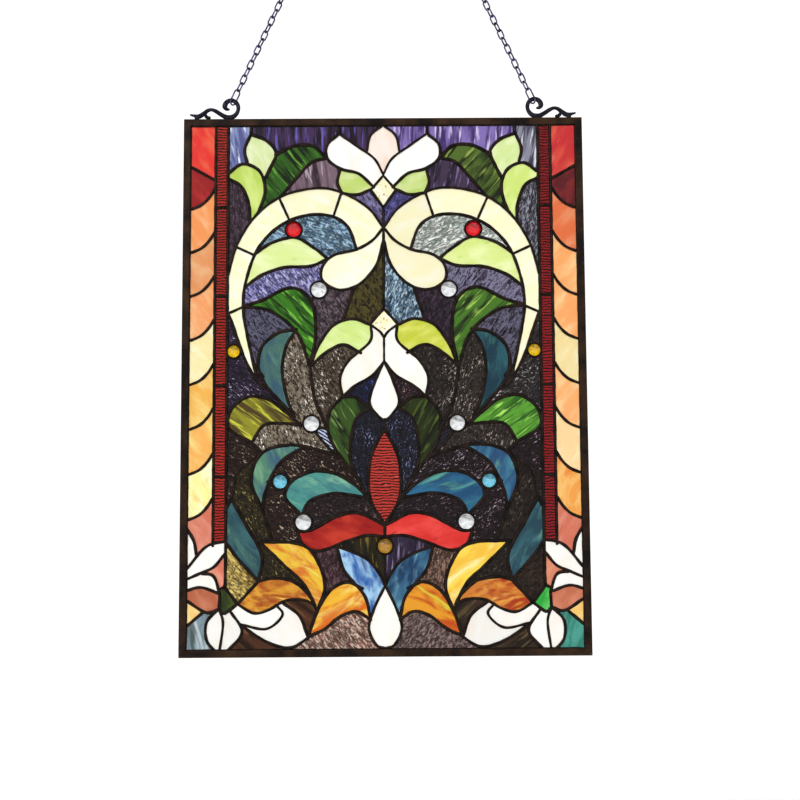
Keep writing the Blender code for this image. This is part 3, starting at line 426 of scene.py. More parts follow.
def carried(line, half, depth, closed=False):
    """Rings along a line: half is each place's step across it and depth its step to the front."""
    along = np.roll(line, -1, axis=0) - np.roll(line, 1, axis=0) if closed else np.gradient(line, axis=0)
    along = along / np.hypot(*along.T)[:, None]
    u = line[:, :1] - along[:, 1:] * half
    z = line[:, 1:] + along[:, :1] * half
    rings, sides = half.shape
    faces = [tube_faces(rings, sides, closed)]
    if not closed:
        faces += [cap_faces(0, sides, True), cap_faces((rings - 1) * sides, sides, False)]
    return np.stack([u, -depth, z], axis=2).reshape(-1, 3), faces


def gather(parts):
    """Join (places, faces) pairs into one, each part's face numbers moved past those before it."""
    places, faces, count = [], [], 0
    for part_places, part_faces in parts:
        places.append(part_places)
        faces += [block + count for block in part_faces]
        count += len(part_places)
    return np.vstack(places), faces


# %% [markdown]
# ## Solder beads
#
# Molten solder pulls itself into a rounded bead over the foil, on both faces of the glass. A bead
# here is a lens-shaped section carried along its lead: the width goes across the lead and the height
# goes out to both faces. The hand that draws the iron leaves the bead a little wider here and there,
# so two slow sine waves of its length change the width. Its ends are rounded off, and where leads
# meet the solder stands in a small pool.

# %% Beads and pools
BEAD_OUT = 2.85
BEAD_SIDES = 12
BEAD_SPREAD = 0.6
RING_STEP = 2.2
SWELLS = ((0.07, 4.3), (0.05, 1.9))
END_HEIGHT = 0.55


def lens(count):
    """Shares across and out of a lens: a circle's cosine and sine, each raised to a power below one."""
    turn = full_turn(count)
    shares = [(np.cos(turn), 0.85), (np.sin(turn), 0.7)]
    return [np.sign(share) * np.abs(share) ** power for share, power in shares]


BEAD_ACROSS, BEAD_DEPTH = lens(BEAD_SIDES)


def rounded_end(steps, width, start):
    """A quarter circle's height over the last half width at both ends, and one between them."""
    from_end = np.clip(np.minimum(steps, steps[-1] - steps) / (width / 2) + start, 0.0, 1.0)
    return np.sqrt(np.clip(1.0 - (1.0 - from_end) ** 2, 0.0, 1.0))


def bead(line, width, closed=False):
    """Lens sections on a line: across it half the width, out of it 2.85 mm, round at the ends."""
    steps = lengths_along(line)
    phases = random.uniform(0.0, 2 * np.pi, len(SWELLS))
    half = np.full(len(line), width / 2)
    out = np.full(len(line), BEAD_OUT)
    if not closed:
        rounding = rounded_end(steps, width, 0.25)
        swell = sum(share * np.sin(steps / length + phase) for (share, length), phase in zip(SWELLS, phases))
        half = half * (1.0 + swell) * rounding
        out = out * (END_HEIGHT + (1.0 - END_HEIGHT) * rounding)
    return carried(line, half[:, None] * BEAD_ACROSS, out[:, None] * BEAD_DEPTH, closed)


POOL_SIDES, POOL_RINGS = 10, 5


def pool(u, z, radius, out=2.9):
    """A flattened ball: rings of latitude whose radius is the cosine and whose depth is the sine."""
    rise = np.linspace(-1.0, 1.0, POOL_RINGS + 2)[1:-1] * np.pi / 2
    turn = full_turn(POOL_SIDES)
    ring = radius * np.cos(rise)[:, None]
    places = np.stack([u + ring * np.cos(turn), out * np.sin(rise)[:, None] + 0 * turn,
                       z + ring * np.sin(turn)], axis=2).reshape(-1, 3)
    count = len(places)
    side = np.arange(POOL_SIDES)
    after = (side + 1) % POOL_SIDES
    last = count - POOL_SIDES
    faces = [tube_faces(POOL_RINGS, POOL_SIDES)[:, ::-1],
             np.stack([side, after, np.full_like(side, count)], axis=1),
             np.stack([last + after, last + side, np.full_like(side, count + 1)], axis=1)]
    return np.vstack([places, [[u, -out, z], [u, out, z]]]), faces


RING_CLEAR = 1.3
SHORTEST_STRETCH = 5


def outside_jewels(line):
    """The stretches of a line that lie outside every jewel's ring."""
    free = np.ones(len(line), dtype=bool)
    for _, u, z, radius in jewel_places:
        free &= np.hypot(line[:, 0] - u, line[:, 1] - z) > radius + RING_CLEAR
    edges = np.flatnonzero(np.diff(np.concatenate([[0], free.astype(int), [0]])))
    return [line[start:end] for start, end in zip(edges[::2], edges[1::2]) if end - start > SHORTEST_STRETCH]


def turned_over(part):
    """The same part on the left half: u changes sign, and so does the order round each face."""
    places, faces = part
    return places * np.array([-1.0, 1.0, 1.0]), [block[:, ::-1] for block in faces]


# %% [markdown]
# ## A small set of tools for finishes
#
# Colours are written as they look on a screen and turned to the linear values that light adds up in.
# One function adds a node, sets its values and joins its inputs, so each finish below reads as a
# recipe. Scales are worked out from a size in millimetres: a noise of scale s on a coordinate in
# metres repeats about every 1/s metres.

# %% Colour and node helpers
def linear(code, alpha=1.0):
    """Hex screen colour to linear: below 0.04045 divided by 12.92, above it a 2.4 power."""
    value = np.array([int(code[k:k + 2], 16) for k in (1, 3, 5)]) / 255
    value = np.where(value <= 0.04045, value / 12.92, ((value + 0.055) / 1.055) ** 2.4)
    return (*(float(channel) for channel in value), alpha)


def new_finish(name, **sockets):
    """A material whose constant values sit on the shader's own sockets."""
    finish = bpy.data.materials.new(name)
    finish.use_nodes = True
    for socket, value in sockets.items():
        finish.node_tree.nodes["Principled BSDF"].inputs[socket.replace("_", " ")].default_value = value
    return finish


def join_shader(finish, **outputs):
    """Join outputs to the shader's own sockets."""
    for socket, output in outputs.items():
        shader = finish.node_tree.nodes["Principled BSDF"]
        finish.node_tree.links.new(output, shader.inputs[socket.replace("_", " ")])


def add(finish, kind, settings=(), values=(), links=()):
    """Add a node, set its settings and input values, and join inputs to other nodes' outputs."""
    node = finish.node_tree.nodes.new(kind)
    for setting, value in dict(settings).items():
        setattr(node, setting, value)
    for socket, value in dict(values).items():
        node.inputs[socket].default_value = value
    for socket, output in dict(links).items():
        finish.node_tree.links.new(output, node.inputs[socket])
    return node


def per_mm(size):
    """Noise scale, on metres, for features of a size in millimetres."""
    return 1000.0 / size


# %% [markdown]
# ## Solder with black patina
#
# Bright tin and lead solder is washed with a copper or selenium salt that turns it black. The salt
# bites unevenly and is then waxed, so the bead is nearly black, half shiny, and has browner places.
# Mottle of about 9 mm colours it and a grain of about 1.2 mm roughens it.

# %% Black patina on solder
def patina_finish(name, dark, worn, metallic, gloss, rough, mottle_mm, grain_mm, depth_mm):
    """Mix two colours by slow noise; roughness and bump follow a finer noise of the same place."""
    finish = new_finish(name, Metallic=metallic, Specular_Tint=(0.3, 0.3, 0.3, 1.0))
    place = add(finish, "ShaderNodeTexCoord").outputs["Object"]
    slow = add(finish, "ShaderNodeTexNoise", {}, {"Scale": per_mm(mottle_mm), "Detail": 4.0, "Roughness": 0.62},
               {"Vector": place}).outputs["Fac"]
    spread = add(finish, "ShaderNodeMapRange", {}, {"From Min": 0.38, "From Max": 0.66}, {"Value": slow})
    colour = add(finish, "ShaderNodeMix", {"data_type": "RGBA"}, {6: linear(dark), 7: linear(worn)},
                 {"Factor": spread.outputs["Result"]})
    grain = add(finish, "ShaderNodeTexNoise", {}, {"Scale": per_mm(grain_mm), "Detail": 3.0},
                {"Vector": place}).outputs["Fac"]
    sheen = add(finish, "ShaderNodeMapRange", {}, {"To Min": gloss, "To Max": rough}, {"Value": grain})
    bump = add(finish, "ShaderNodeBump", {}, {"Strength": 0.5, "Distance": depth_mm * MM}, {"Height": grain})
    join_shader(finish, Base_Color=colour.outputs[2], Roughness=sheen.outputs["Result"],
                Normal=bump.outputs["Normal"])
    return finish


black_patina_solder = patina_finish("black_patina_solder", "#15110f", "#2c211b", 0.75, 0.28, 0.50, 9.0, 1.2, 0.10)

# %% Solder on both halves
RING_OF_SOLDER = 2.2
UNDER_CHANNEL = 0.7
halves = {"right": [], "left": []}


def lay(part, side):
    """Put a part of the right half on its side of the panel."""
    halves[side].append(turned_over(part) if side == "left" else part)


for width, line in lead_lines:
    on_centre = abs(line[:, 0]).max() < 1.0
    for stretch in outside_jewels(line):
        for side in ("right",) if on_centre else ("right", "left"):
            lay(bead(even_steps(stretch, RING_STEP), width + BEAD_SPREAD), side)
            for place in (stretch[0], stretch[-1]):
                lay(pool(*place, width * 0.62), side)
for _, u, z, radius in jewel_places:
    turn, reach = full_turn(40), radius + RING_OF_SOLDER / 2
    ring = np.stack([u + reach * np.cos(turn), z + reach * np.sin(turn)], axis=1)
    for side in ("right", "left") if u > 1.0 else ("right",):
        lay(bead(ring, RING_OF_SOLDER + 0.5, closed=True), side)
inset = CHANNEL_BAR - UNDER_CHANNEL
edge_u, edge_z = PANEL_WIDTH / 2 - inset, PANEL_HEIGHT - inset
tinned = [(-edge_u, inset), (edge_u, inset), (edge_u, edge_z), (-edge_u, edge_z)]
for start, end in zip(tinned, tinned[1:] + tinned[:1]):
    lay(bead(even_steps(np.array([start, end]), 6.0), 3.4), "right")
for side, parts in halves.items():
    places, faces = gather(parts)
    print(f"solder, {side} half:", sum(len(block) for block in faces), "faces")
    solder = make_piece(f"solder_beads_{side}", places, faces, black_patina_solder, "dark_solder")
    if side == "right":
        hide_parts("solder_lines")

# %% [markdown]
# ## Sheet glass
#
# Art glass is rolled from ladles of molten colour, so every sheet has its own swirl. Opalescent
# glass is milky and glows when light comes from behind. In marbled glass the colours run into each
# other as clouds. Streaky glass has a second and a third colour drawn out along the roll. Granite
# glass has a rough, broken face, and its small bright sparkles are painted glints where the face
# would catch light; crackle glass has thin dark lines where the skin of the sheet split. Ripple glass
# has waves across it that show as dark bars, with a few painted glints. Hammered clear glass has
# almost no colour.
#
# One finish serves every pane of a kind: each pane carries three colours and a direction of its
# own, written on its places, and the finish reads them. That is how one sheet of glass gives many
# different panes, and how the panes keep their colours when the mesh is exported. The glass lets
# most light through, and its tint at the face is low because the panel is lit from behind.

# %% The glass finishes
def noise(finish, run, size_mm, drawn_out, detail=3.0, roughness=0.55, distortion=0.0):
    """Noise with features of a size across the streaks and drawn_out times that along them."""
    stretched = add(finish, "ShaderNodeMapping", {}, {"Scale": (1.0 / drawn_out, 1.0, 1.0)}, {"Vector": run})
    values = {"Scale": per_mm(size_mm), "Detail": detail, "Roughness": roughness, "Distortion": distortion}
    return add(finish, "ShaderNodeTexNoise", {}, values, {"Vector": stretched.outputs["Vector"]}).outputs["Fac"]


def ramp(finish, value, low, high, low_to=0.0, high_to=1.0):
    """A smooth step from one value to another between two levels."""
    levels = {"From Min": low, "From Max": high, "To Min": low_to, "To Max": high_to}
    return add(finish, "ShaderNodeMapRange", {"interpolation_type": "SMOOTHSTEP"}, levels,
               {"Value": value}).outputs["Result"]


def sheet_glass(name, through, rough, streak_share, fleck_and_glint_share, face_size_mm, face_depth_mm):
    """The pane's tint, then its streak colour and its third colour where the two shares say; the third is a
    painted glint on granite and ripple glass and a fleck on the rest; bump from a noise.
    """
    finish = new_finish(name, Transmission_Weight=through, Roughness=rough, IOR=1.5,
                        Specular_Tint=(0.25, 0.25, 0.25, 1.0))
    run = add(finish, "ShaderNodeUVMap", {"uv_map": "run"}).outputs["UV"]
    colour = add(finish, "ShaderNodeAttribute", {"attribute_name": "tint"}).outputs["Color"]
    for word, share in (("streak", streak_share), ("fleck", fleck_and_glint_share)):
        own = add(finish, "ShaderNodeAttribute", {"attribute_name": word}).outputs["Color"]
        colour = add(finish, "ShaderNodeMix", {"data_type": "RGBA"}, {},
                     {"Factor": share(finish, run), 6: colour, 7: own}).outputs[2]
    bump = add(finish, "ShaderNodeBump", {}, {"Strength": 0.6, "Distance": face_depth_mm * MM},
               {"Height": noise(finish, run, face_size_mm, 1.6)})
    join_shader(finish, Base_Color=colour, Normal=bump.outputs["Normal"])
    return finish


def streaks(size_mm, drawn_out, low, high, distortion=0.3):
    """A share that rises where a drawn-out noise is high."""
    def share(finish, run):
        return ramp(finish, noise(finish, run, size_mm, drawn_out, distortion=distortion), low, high)
    return share


def cracks(size_mm, drawn_out, width):
    """Thin lines where a noise crosses its middle: near to it the share is high, away from it none."""
    def share(finish, run):
        value = noise(finish, run, size_mm, drawn_out, 5.0, 0.62, 1.4)
        away = add(finish, "ShaderNodeMath", {"operation": "SUBTRACT"}, {1: 0.5}, {0: value}).outputs[0]
        apart = add(finish, "ShaderNodeMath", {"operation": "ABSOLUTE"}, {}, {0: away}).outputs[0]
        return ramp(finish, apart, 0.0, width, 0.92, 0.0)
    return share


def painted_glints(size_mm, drawn_out, cluster_mm, low, high):
    """Painted glints: small bright marks where the rough face would catch light, gathered where a slow noise is
    high; the two noises are added and cut off.
    """
    def share(finish, run):
        fine = noise(finish, run, size_mm, drawn_out, 4.0, 0.7, 0.8)
        slow = noise(finish, run, cluster_mm, 1.3, 2.0)
        both = add(finish, "ShaderNodeMath", {"operation": "MULTIPLY_ADD"}, {1: 0.3}, {0: slow, 2: fine})
        return ramp(finish, both.outputs[0], low, high)
    return share


def bars_across(period_mm, distortion):
    """Waves across the sheet: dark where the wave is low; a wave of scale s repeats every pi/10s."""
    def share(finish, run):
        values = {"Scale": math.pi / 10 * per_mm(period_mm), "Distortion": distortion, "Detail": 3.0,
                  "Detail Scale": 0.9, "Detail Roughness": 0.6}
        wave = add(finish, "ShaderNodeTexWave", {"bands_direction": "Y"}, values, {"Vector": run}).outputs["Fac"]
        return ramp(finish, wave, 0.25, 0.62, 1.0, 0.0)
    return share


GLASS = {
    # Milky, with soft cloudy streaks about 14 mm wide and few flecks
    "opal": sheet_glass("opalescent_sheet_glass", 0.82, 0.30, streaks(14.0, 2.6, 0.40, 0.72),
                        streaks(6.0, 3.5, 0.60, 0.82), 14.0, 0.25),
    # Clouds 16 mm wide that run into each other
    "marbled": sheet_glass("marbled_sheet_glass", 0.86, 0.26, streaks(16.0, 2.6, 0.38, 0.62, 0.9),
                           streaks(12.0, 4.0, 0.50, 0.78, 0.8), 9.0, 0.30),
    # Bands 9 mm wide of the second colour and finer ones of the third, drawn out eight times
    "streaky": sheet_glass("streaky_sheet_glass", 0.86, 0.26, streaks(9.0, 8.0, 0.42, 0.60, 0.5),
                           streaks(4.5, 8.0, 0.54, 0.68), 9.0, 0.35),
    # Fine mottle 2.8 mm wide with split lines about half a millimetre wide
    "crackle": sheet_glass("crackle_glass", 0.88, 0.20, streaks(2.8, 2.4, 0.42, 0.58, 1.0),
                           cracks(6.0, 3.0, 0.085), 3.0, 0.6),
    # Dark patches, and painted glints about a millimetre and a half long all over
    "granite": sheet_glass("granite_glass", 0.88, 0.22, streaks(2.6, 2.0, 0.42, 0.58, 0.8),
                           painted_glints(1.9, 2.4, 24.0, 0.745, 0.80), 2.6, 0.7),
    # Bars every 3.2 mm that wander, and a few painted glints
    "ripple": sheet_glass("ripple_glass", 0.88, 0.20, bars_across(3.2, 5.5), painted_glints(3.0, 4.0, 16.0, 0.80, 0.90),
                          3.4, 0.8),
    # Nearly colourless, with amber flecks
    "clear": sheet_glass("hammered_clear_glass", 0.96, 0.08, streaks(8.0, 1.2, 0.45, 0.60),
                         streaks(4.0, 1.2, 0.56, 0.70), 4.0, 0.9),
}
print(len(GLASS), "kinds of glass")

# %% [markdown]
# ## Choosing the glass of every pane
#
# The glazier numbers the cartoon and picks a sheet for each number. The table names a piece of the
# drawing, its kind of glass, the angle that its streaks run at on the right half, one place in each
# of its panes, and its three colours on the right and on the left. A pane takes the row whose place
# lies inside it, or else the nearest.

# %% The glazier's list
# piece, kind, angle and places | colours on the right | on the left, if they differ | the solid it stands for
# The third colour on each side is a fleck; on granite and ripple glass it is the colour of painted glints.
PICK_ROWS = """
column_glass_head opal 60 206,570 | #d23338 #e8604a #f08868 | #e8352f #f26a48 #f08868 | border_glass
column_glass_dark opal 60 206,530 | #5a1a20 #8a2a28 #b04038 | #a01c20 #c83430 #d85048
column_glass_orange opal 55 206,493 | #ee7a48 #f6a070 #fbc090 | #f09a5a #f8b884 #fbd0a0
column_glass_peach opal 50 206,443 206,392 | #f4a866 #fbcc90 #ee8a58 | #f0a065 #f8c490 #e88858
column_glass_cream opal 50 206,341 | #f6e0a0 #fdf4cc #f0b870 | #f6e5a8 #fdf4cc #f0b870
column_glass_gold opal 50 206,291 | #f6b070 #fcd098 #ee8c54 | #f7bc58 #fde08c #f09a50
column_glass_sand opal 50 206,241 | #f8d49c #fde8b8 #f0a060 | #f7b860 #fde08c #f09a50
column_glass_straw marbled 65 206,190 | #f2a44c #f8c474 #e46c30 | #fdf0a0 #fef8cc #f0c068
column_glass_salmon opal 60 206,140 | #dd7a60 #e89880 #c05848 | #dd7a60 #eca088 #c05848
strip_ripple_glass ripple 0 185,560 185,456 185,354 185,251 185,160 | #94181c #1c0304 #c43038 | #ac261a #1c0403 #d84830 | red_strip
salmon_tip_glass opal 70 183,98 | #e08868 #f0a888 #c86850 | #d87860 #eca088 #b85848
bud_glass opal 60 140,570 | #d4e89a #eef6c8 #a8cc60 | #dceaa8 #f0f8d0 #a8cc60 | top_leaves
comma_glass opal 70 150,540 | #cfe47c #e8f4a8 #a0c850 | #c0dc60 #e0f090 #98c048
high_leaf_glass streaky 50 95,565 | #56702c #1a220c #94ac4c | #34641c #10200a #6cac3c
lilac_corner_glass streaky 78 168,580 | #8c8c9c #403c50 #e4e8f0 | #8c98c4 #54588c #e4ecf8
plum_streak_glass streaky 88 100,590 30,590 | #8874b8 #44306c #dcccf4 | #443054 #1e1420 #6c60b4 | top_ground
mauve_streak_glass streaky 80 67,545 | #44344c #1c1424 #8c7cac | #7a6470 #34242e #b8a8b4
side_streak_glass crackle 82 172,500 | #8c8c98 #34303c #100c10 | #5c4858 #30242e #1c1218
high_petal_glass opal 80 40,565 | #fffdf8 #fff4e8 #fffaf0 | #fffdf8 #fff2e8 #fffaf0 | high_petal
centre_petal_glass opal 90 5,575 | #fff4ea #ffe4d4 #fffaf4 | | centre_petal
small_leaf_glass opal 10 35,532 | #c8e078 #e4f2ac #9cc454 | #cce27a #e8f4b0 #9cc454
high_diamond_glass clear 45 3,525 | #f5f0c8 #fffce8 #c8a030 | | high_diamond
arch_glass opal 30 25,490 80,510 135,488 166,430 160,355 | #fdf7cc #fffce4 #f4e6a4 | #fdf8cc #fffdec #f4e8a8 | white_arch
curl_petal_glass opal 20 40,430 | #fdf6cc #fffbe4 #f2e4a4 | #fdf8d4 #fffdec #f2e8ac | curl_petal
arch_leaf_glass opal 15 110,455 | #d8e88c #eef6bc #a8cc58 | #dcec9c #f0f8c4 #b0d068 | arch_leaf
arch_water_glass crackle 25 60,475 85,482 | #f8f8f0 #a4b0ac #505850 | #a4c4d8 #50708c #182430
lilac_water_glass crackle 60 9,508 | #6c68b0 #4c4880 #1c1830 | #948cb8 #6c6490 #241c34
under_arch_glass crackle 50 120,427 | #4a4254 #241e2c #8c88a4 | #b8b4e0 #605c9c #14102c | upper_ground
middle_crackle_glass crackle 60 60,395 80,415 | #403040 #201620 #0c080c | #74646c #40343e #120c10
olive_night_glass crackle 70 20,400 | #b4d0e0 #44607c #0a1018 | #28220f #141008 #544c20
green_leaf_glass streaky 45 100,395 | #4c7c28 #1c2c10 #a0cc58 | #3a7a1c #14300a #7cc444 | green_leaf
side_night_glass crackle 50 130,370 | #3c3844 #1a1620 #706c84 | #34303c #16121c #64647c
outer_night_glass granite 30 165,300 174,330 174.5,366 | #302a2a #161214 #c8c0b8 | #2c2034 #140e1c #c0b4d0
teal_leaf_glass marbled 75 128,330 | #2c5c68 #1c3c4c #4c8c84 | #4c7468 #3a5c70 #6c9c94 | teal_leaf
beside_teal_glass granite 70 94,320 | #342c28 #181210 #b0a494 | #7c7060 #2c2218 #f8f4ec
lime_leaf_glass opal 25 45,362 | #c8d040 #e4e874 #98a828 | #cfe488 #e8f4b4 #a4c45c | lime_leaf
low_diamond_glass clear 45 3,370 | #f5ecc0 #fffce8 #c89c30 | | low_diamond
low_petal_glass opal 75 30,315 | #fffdf6 #fff8e8 #fffefa | | low_petal
high_drop_glass opal 85 5,290 | #fffdf8 #fff8ee #ffffff | | high_drop
under_lime_glass granite 60 42,332 60,300 70,280 | #2c2420 #14100e #b0a498 | #54483a #241c14 #f0e8dc
dark_leaf_glass streaky 60 50,250 | #26300f #11150a #485c1c | #35501c #141c0c #789850 | dark_leaf
fleck_leaf_glass granite 60 24,298 30,280 | #2c1c20 #140c0e #e0b4b4 | #1a1c34 #0a0a18 #5c74dc
stripe_bit_glass ripple 30 68,243 | #24202c #0c0a10 #8c88a8 | #b8c4e0 #141418 #5060a0
heart_ripple_glass ripple 0 5,200 | #c03a30 #3c0c0a #f0a898 | | red_heart
beside_heart_glass granite 80 33,200 25,240 | #1e1e2c #0c0b12 #8088b0 | #1a1a28 #0a0a10 #8c90b8
scroll_leaf_glass marbled 70 140,200 | #3c7090 #284c70 #78b89c | #50806c #3c5c74 #80b088 | scroll_leaf
curled_leaf_glass marbled 20 80,190 | #2c688c #204c70 #64ac94 | #4c9088 #3c787c #88bc9c | curled_leaf
curled_shade_glass granite 15 50,168 60,165 | #201418 #0e090b #7c6874 | #26181a #120b0c #84706c
olive_leaf_glass streaky 35 155,270 | #5ca034 #2c6018 #ace868 | #8e8c28 #4a3a1c #c8c840 | olive_leaf
lower_night_glass granite 20 150,300 125,240 160,230 110,250 | #221518 #0e0809 #b8a4b4 | #2a1a14 #100907 #c0ac94 | lower_ground
red_wing_glass opal 15 40,145 | #d8302c #ec5048 #b01c1c | #9c1a18 #c43a28 #6c0c0c | red_wing
side_shade_glass granite 60 165,190 158,175 150,200 | #241a16 #0e0a08 #645848 | #2e2612 #140e06 #b0a45c
low_teal_glass marbled 60 165,130 150,120 | #34606c #244450 #5c9488 | #3c686c #2c4c58 #64987c
inner_night_glass granite 40 120,150 115,140 105,170 60,215 | #221518 #0e0809 #b8a4b4 | #2a1a14 #100907 #c0ac94
straw_crackle_glass crackle 40 160,85 | #3c2a22 #1e140e #100a08 | #e8d07c #a88840 #1a1208
yellow_leaf_glass marbled 30 88,100 | #fcdc54 #f6c444 #fff2ac | #eec43c #dc7c2c #fae878
orange_leaf_glass marbled 15 130,68 | #dc9038 #a83c18 #f4c868 | #e0a034 #a8501c #f8cc60
amber_leaf_glass marbled -30 50,60 | #e49c28 #c04c18 #dcd040 | #f4bc34 #dc6c1c #fce87c
blue_leaf_glass marbled 65 25,90 | #3c6c8c #1c3c60 #8cc8d4 | #2c60a8 #a8d0ec #143478
low_drop_glass opal 90 5,35 | #fffdf8 #fff8ee #ffffff | | low_drop
between_leaf_glass crackle 80 60,90 62,112 | #9c7c6c #50382c #241612 | #684a50 #382228 #140a0c
under_jewel_glass streaky 85 12,110 | #30243c #181020 #9484a8 | #241e0e #0e0c06 #8c7828
bottom_mottle_glass crackle 50 60,15 30,25 30,15 | #907c78 #503c38 #1e1614 | #d0b8a8 #84584c #2c1c14
corner_night_glass streaky 40 97,52 150,20 | #38281c #1c120c #5c4c30 | #4c2c18 #241208 #744c30
corner_petal_glass opal 70 102,33 137,41 190,28 172,28 200,108 203,82 217,125 | #fffdf8 #fff6ec #ffffff
cup_glass opal 60 200,62 | #c87050 #e09070 #a04830 | #c06a48 #d88868 #984430
cup_neck_glass marbled 60 176,62 | #2fae3f #60d060 #1c7c2c | #2e3a14 #445420 #1a200c
corner_bit_glass opal 40 215,52 | #f5c870 #fce0a0 #e0a048
corner_foot_glass marbled 80 215,22 205,12 | #4c9c8c #2c7868 #a0d4c0 | #4c5c58 #8498a4 #dce4e8
"""


def read_pick(row):
    """A row's piece, kind, angle, places, three colours on each side and its solid, or no solid."""
    head, right, left, node = (field.strip() for field in (row + " | | ").split("|")[:4])
    name, kind, angle, *words = head.split()
    return name, kind, float(angle), read_places(words), right, left or right, node or None


PICKS = [read_pick(row) for row in PICK_ROWS.strip().splitlines()]
print(len(PICKS), "rows in the list")

# %% Which row each pane takes
seed_rows = [(number, *to_panel([place])[0]) for number, row in enumerate(PICKS) for place in row[3]]
seed_numbers = np.array([row[0] for row in seed_rows])
seed_places = np.array([row[1:] for row in seed_rows])


def inside(loop, places):
    """Count how often a level line from each place crosses the outline: an odd count is inside."""
    start, end = loop, np.roll(loop, -1, axis=0)
    u, z = places[:, :1], places[:, 1:]
    spans = (start[:, 1] > z) != (end[:, 1] > z)
    rise = np.where(end[:, 1] == start[:, 1], 1e-9, end[:, 1] - start[:, 1])
    crossing = start[:, 0] + (z - start[:, 1]) / rise * (end[:, 0] - start[:, 0])
    return np.count_nonzero(spans & (u < crossing), axis=1) % 2 == 1


def row_of_pane(rim):
    """The row with a place in the pane, else the row whose place is nearest to the pane's middle."""
    side = -1.0 if rim[:, 0].mean() < -0.5 else 1.0
    places = seed_places * np.array([side, 1.0])
    held = inside(rim, places)
    if held.any():
        return int(seed_numbers[np.flatnonzero(held)[0]])
    middle = (rim.min(axis=0) + rim.max(axis=0)) / 2
    return int(seed_numbers[np.argmin(np.hypot(*(places - middle).T))])


# %% [markdown]
# ## Cutting the panes
#
# A pane is the area inside its outline, three millimetres thick. The front and back are filled with
# triangles between the outline's places, and a strip of squares makes the cut edge. Its streaks are
# laid out on a flat map, in metres, turned to the row's angle and moved by a random step, as if each
# pane had been cut from another part of the sheet.

# %% Cut every pane
HALF_PANE = 1.5


def cut_pane(rim):
    """Front and back from one filling by triangles; the edge joins each place to the one behind it."""
    triangles = np.array(tessellate_polygon([[Vector((*place, 0.0)) for place in rim]]))
    corner = rim[triangles]
    side_one, side_two = corner[:, 1] - corner[:, 0], corner[:, 2] - corner[:, 0]
    turned = side_one[:, 0] * side_two[:, 1] - side_one[:, 1] * side_two[:, 0] < 0
    triangles[turned] = triangles[turned][:, ::-1]
    places = np.vstack([np.insert(rim, 1, depth, axis=1) for depth in (-HALF_PANE, HALF_PANE)])
    count = len(rim)
    here = np.arange(count)
    after = np.roll(here, -1)
    edge = np.stack([here, here + count, after + count, after], axis=1)
    return places, [triangles, triangles[:, ::-1] + count, edge]


def streak_map(places, angle):
    """Along and across the streaks, in metres: the place turned by the angle and moved at random."""
    turn = math.radians(angle)
    u, z = places[:, 0], places[:, 2]
    along = u * math.cos(turn) + z * math.sin(turn)
    across = -u * math.sin(turn) + z * math.cos(turn)
    return np.stack([along, across], axis=1) * MM + random.uniform(0.0, 3.0, 2)


def shaded(colour, amount):
    """The linear colour made lighter or darker by one factor."""
    return np.clip(np.array(colour[:3]) * amount, 0.0, 1.0)


def write_colours(mesh, name, domain, values):
    """A colour on each of the mesh's places or face corners, under a name that a finish reads."""
    layer = mesh.color_attributes.new(name=name, type="FLOAT_COLOR", domain=domain)
    layer.data.foreach_set("color", values.ravel())


pieces = {}
for rim in pane_rims:
    name, kind, angle, _, right, left, node = PICKS[row_of_pane(rim)]
    on_left = rim[:, 0].mean() < -0.5
    shared = abs(rim[:, 0].mean()) < 0.5
    word = "" if shared else ("_left" if on_left else "_right")
    places, faces = cut_pane(rim)
    colours = [linear(code) for code in (left if on_left else right).split()]
    light = random.uniform(0.90, 1.08)
    entry = pieces.setdefault(name + word, {"kind": kind, "node": node, "word": word, "parts": [], "runs": [],
                                            "tints": []})
    entry["parts"].append((places, faces))
    entry["runs"].append(streak_map(places, -angle + 180 if on_left else angle))
    entry["tints"].append([np.tile([*shaded(colour, light), 1.0], (len(places), 1)) for colour in colours])

# %% Make and colour the pieces of glass
slot_of_node = {part["node"]: part["material_slot"] for part in frame["record"]["subparts"]}
SLOT_WORDS = {
    "amber_column_glass": "column salmon", "pale_green_glass": "comma small", "green_glass": "high cup_neck",
    "violet_mottled_glass": "plum mauve arch middle", "teal_glass": "low_teal blue", "white_glass": "corner_petal",
}


def slot_of(name, node):
    """The slot of the solid that the piece stands for, else the one that its name's first word tells."""
    if node in slot_of_node:
        return slot_of_node[node]
    for slot, words in SLOT_WORDS.items():
        if name.startswith(tuple(words.split())):
            return slot
    return "brown_mottled_glass"


for name, entry in pieces.items():
    places, faces = gather(entry["parts"])
    node = entry["node"]
    if node is not None and node not in slot_of_node:
        node += entry["word"]
    piece = make_piece(name, places, faces, GLASS[entry["kind"]], slot_of(name, node), smooth=False)
    if node is not None:
        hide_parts(node)
    mesh = piece.data
    corner_place = np.empty(len(mesh.loops), dtype=np.int64)
    mesh.loops.foreach_get("vertex_index", corner_place)
    run = mesh.uv_layers.new(name="run")
    run.data.foreach_set("uv", np.vstack(entry["runs"])[corner_place].ravel())
    # The third colour holds flecks, and on granite and ripple glass painted glints.
    for number, word in enumerate(("tint", "streak", "fleck")):
        write_colours(mesh, word, "POINT", np.vstack([tints[number] for tints in entry["tints"]]))
print(len(pieces), "pieces of glass,", len(pane_rims), "panes")
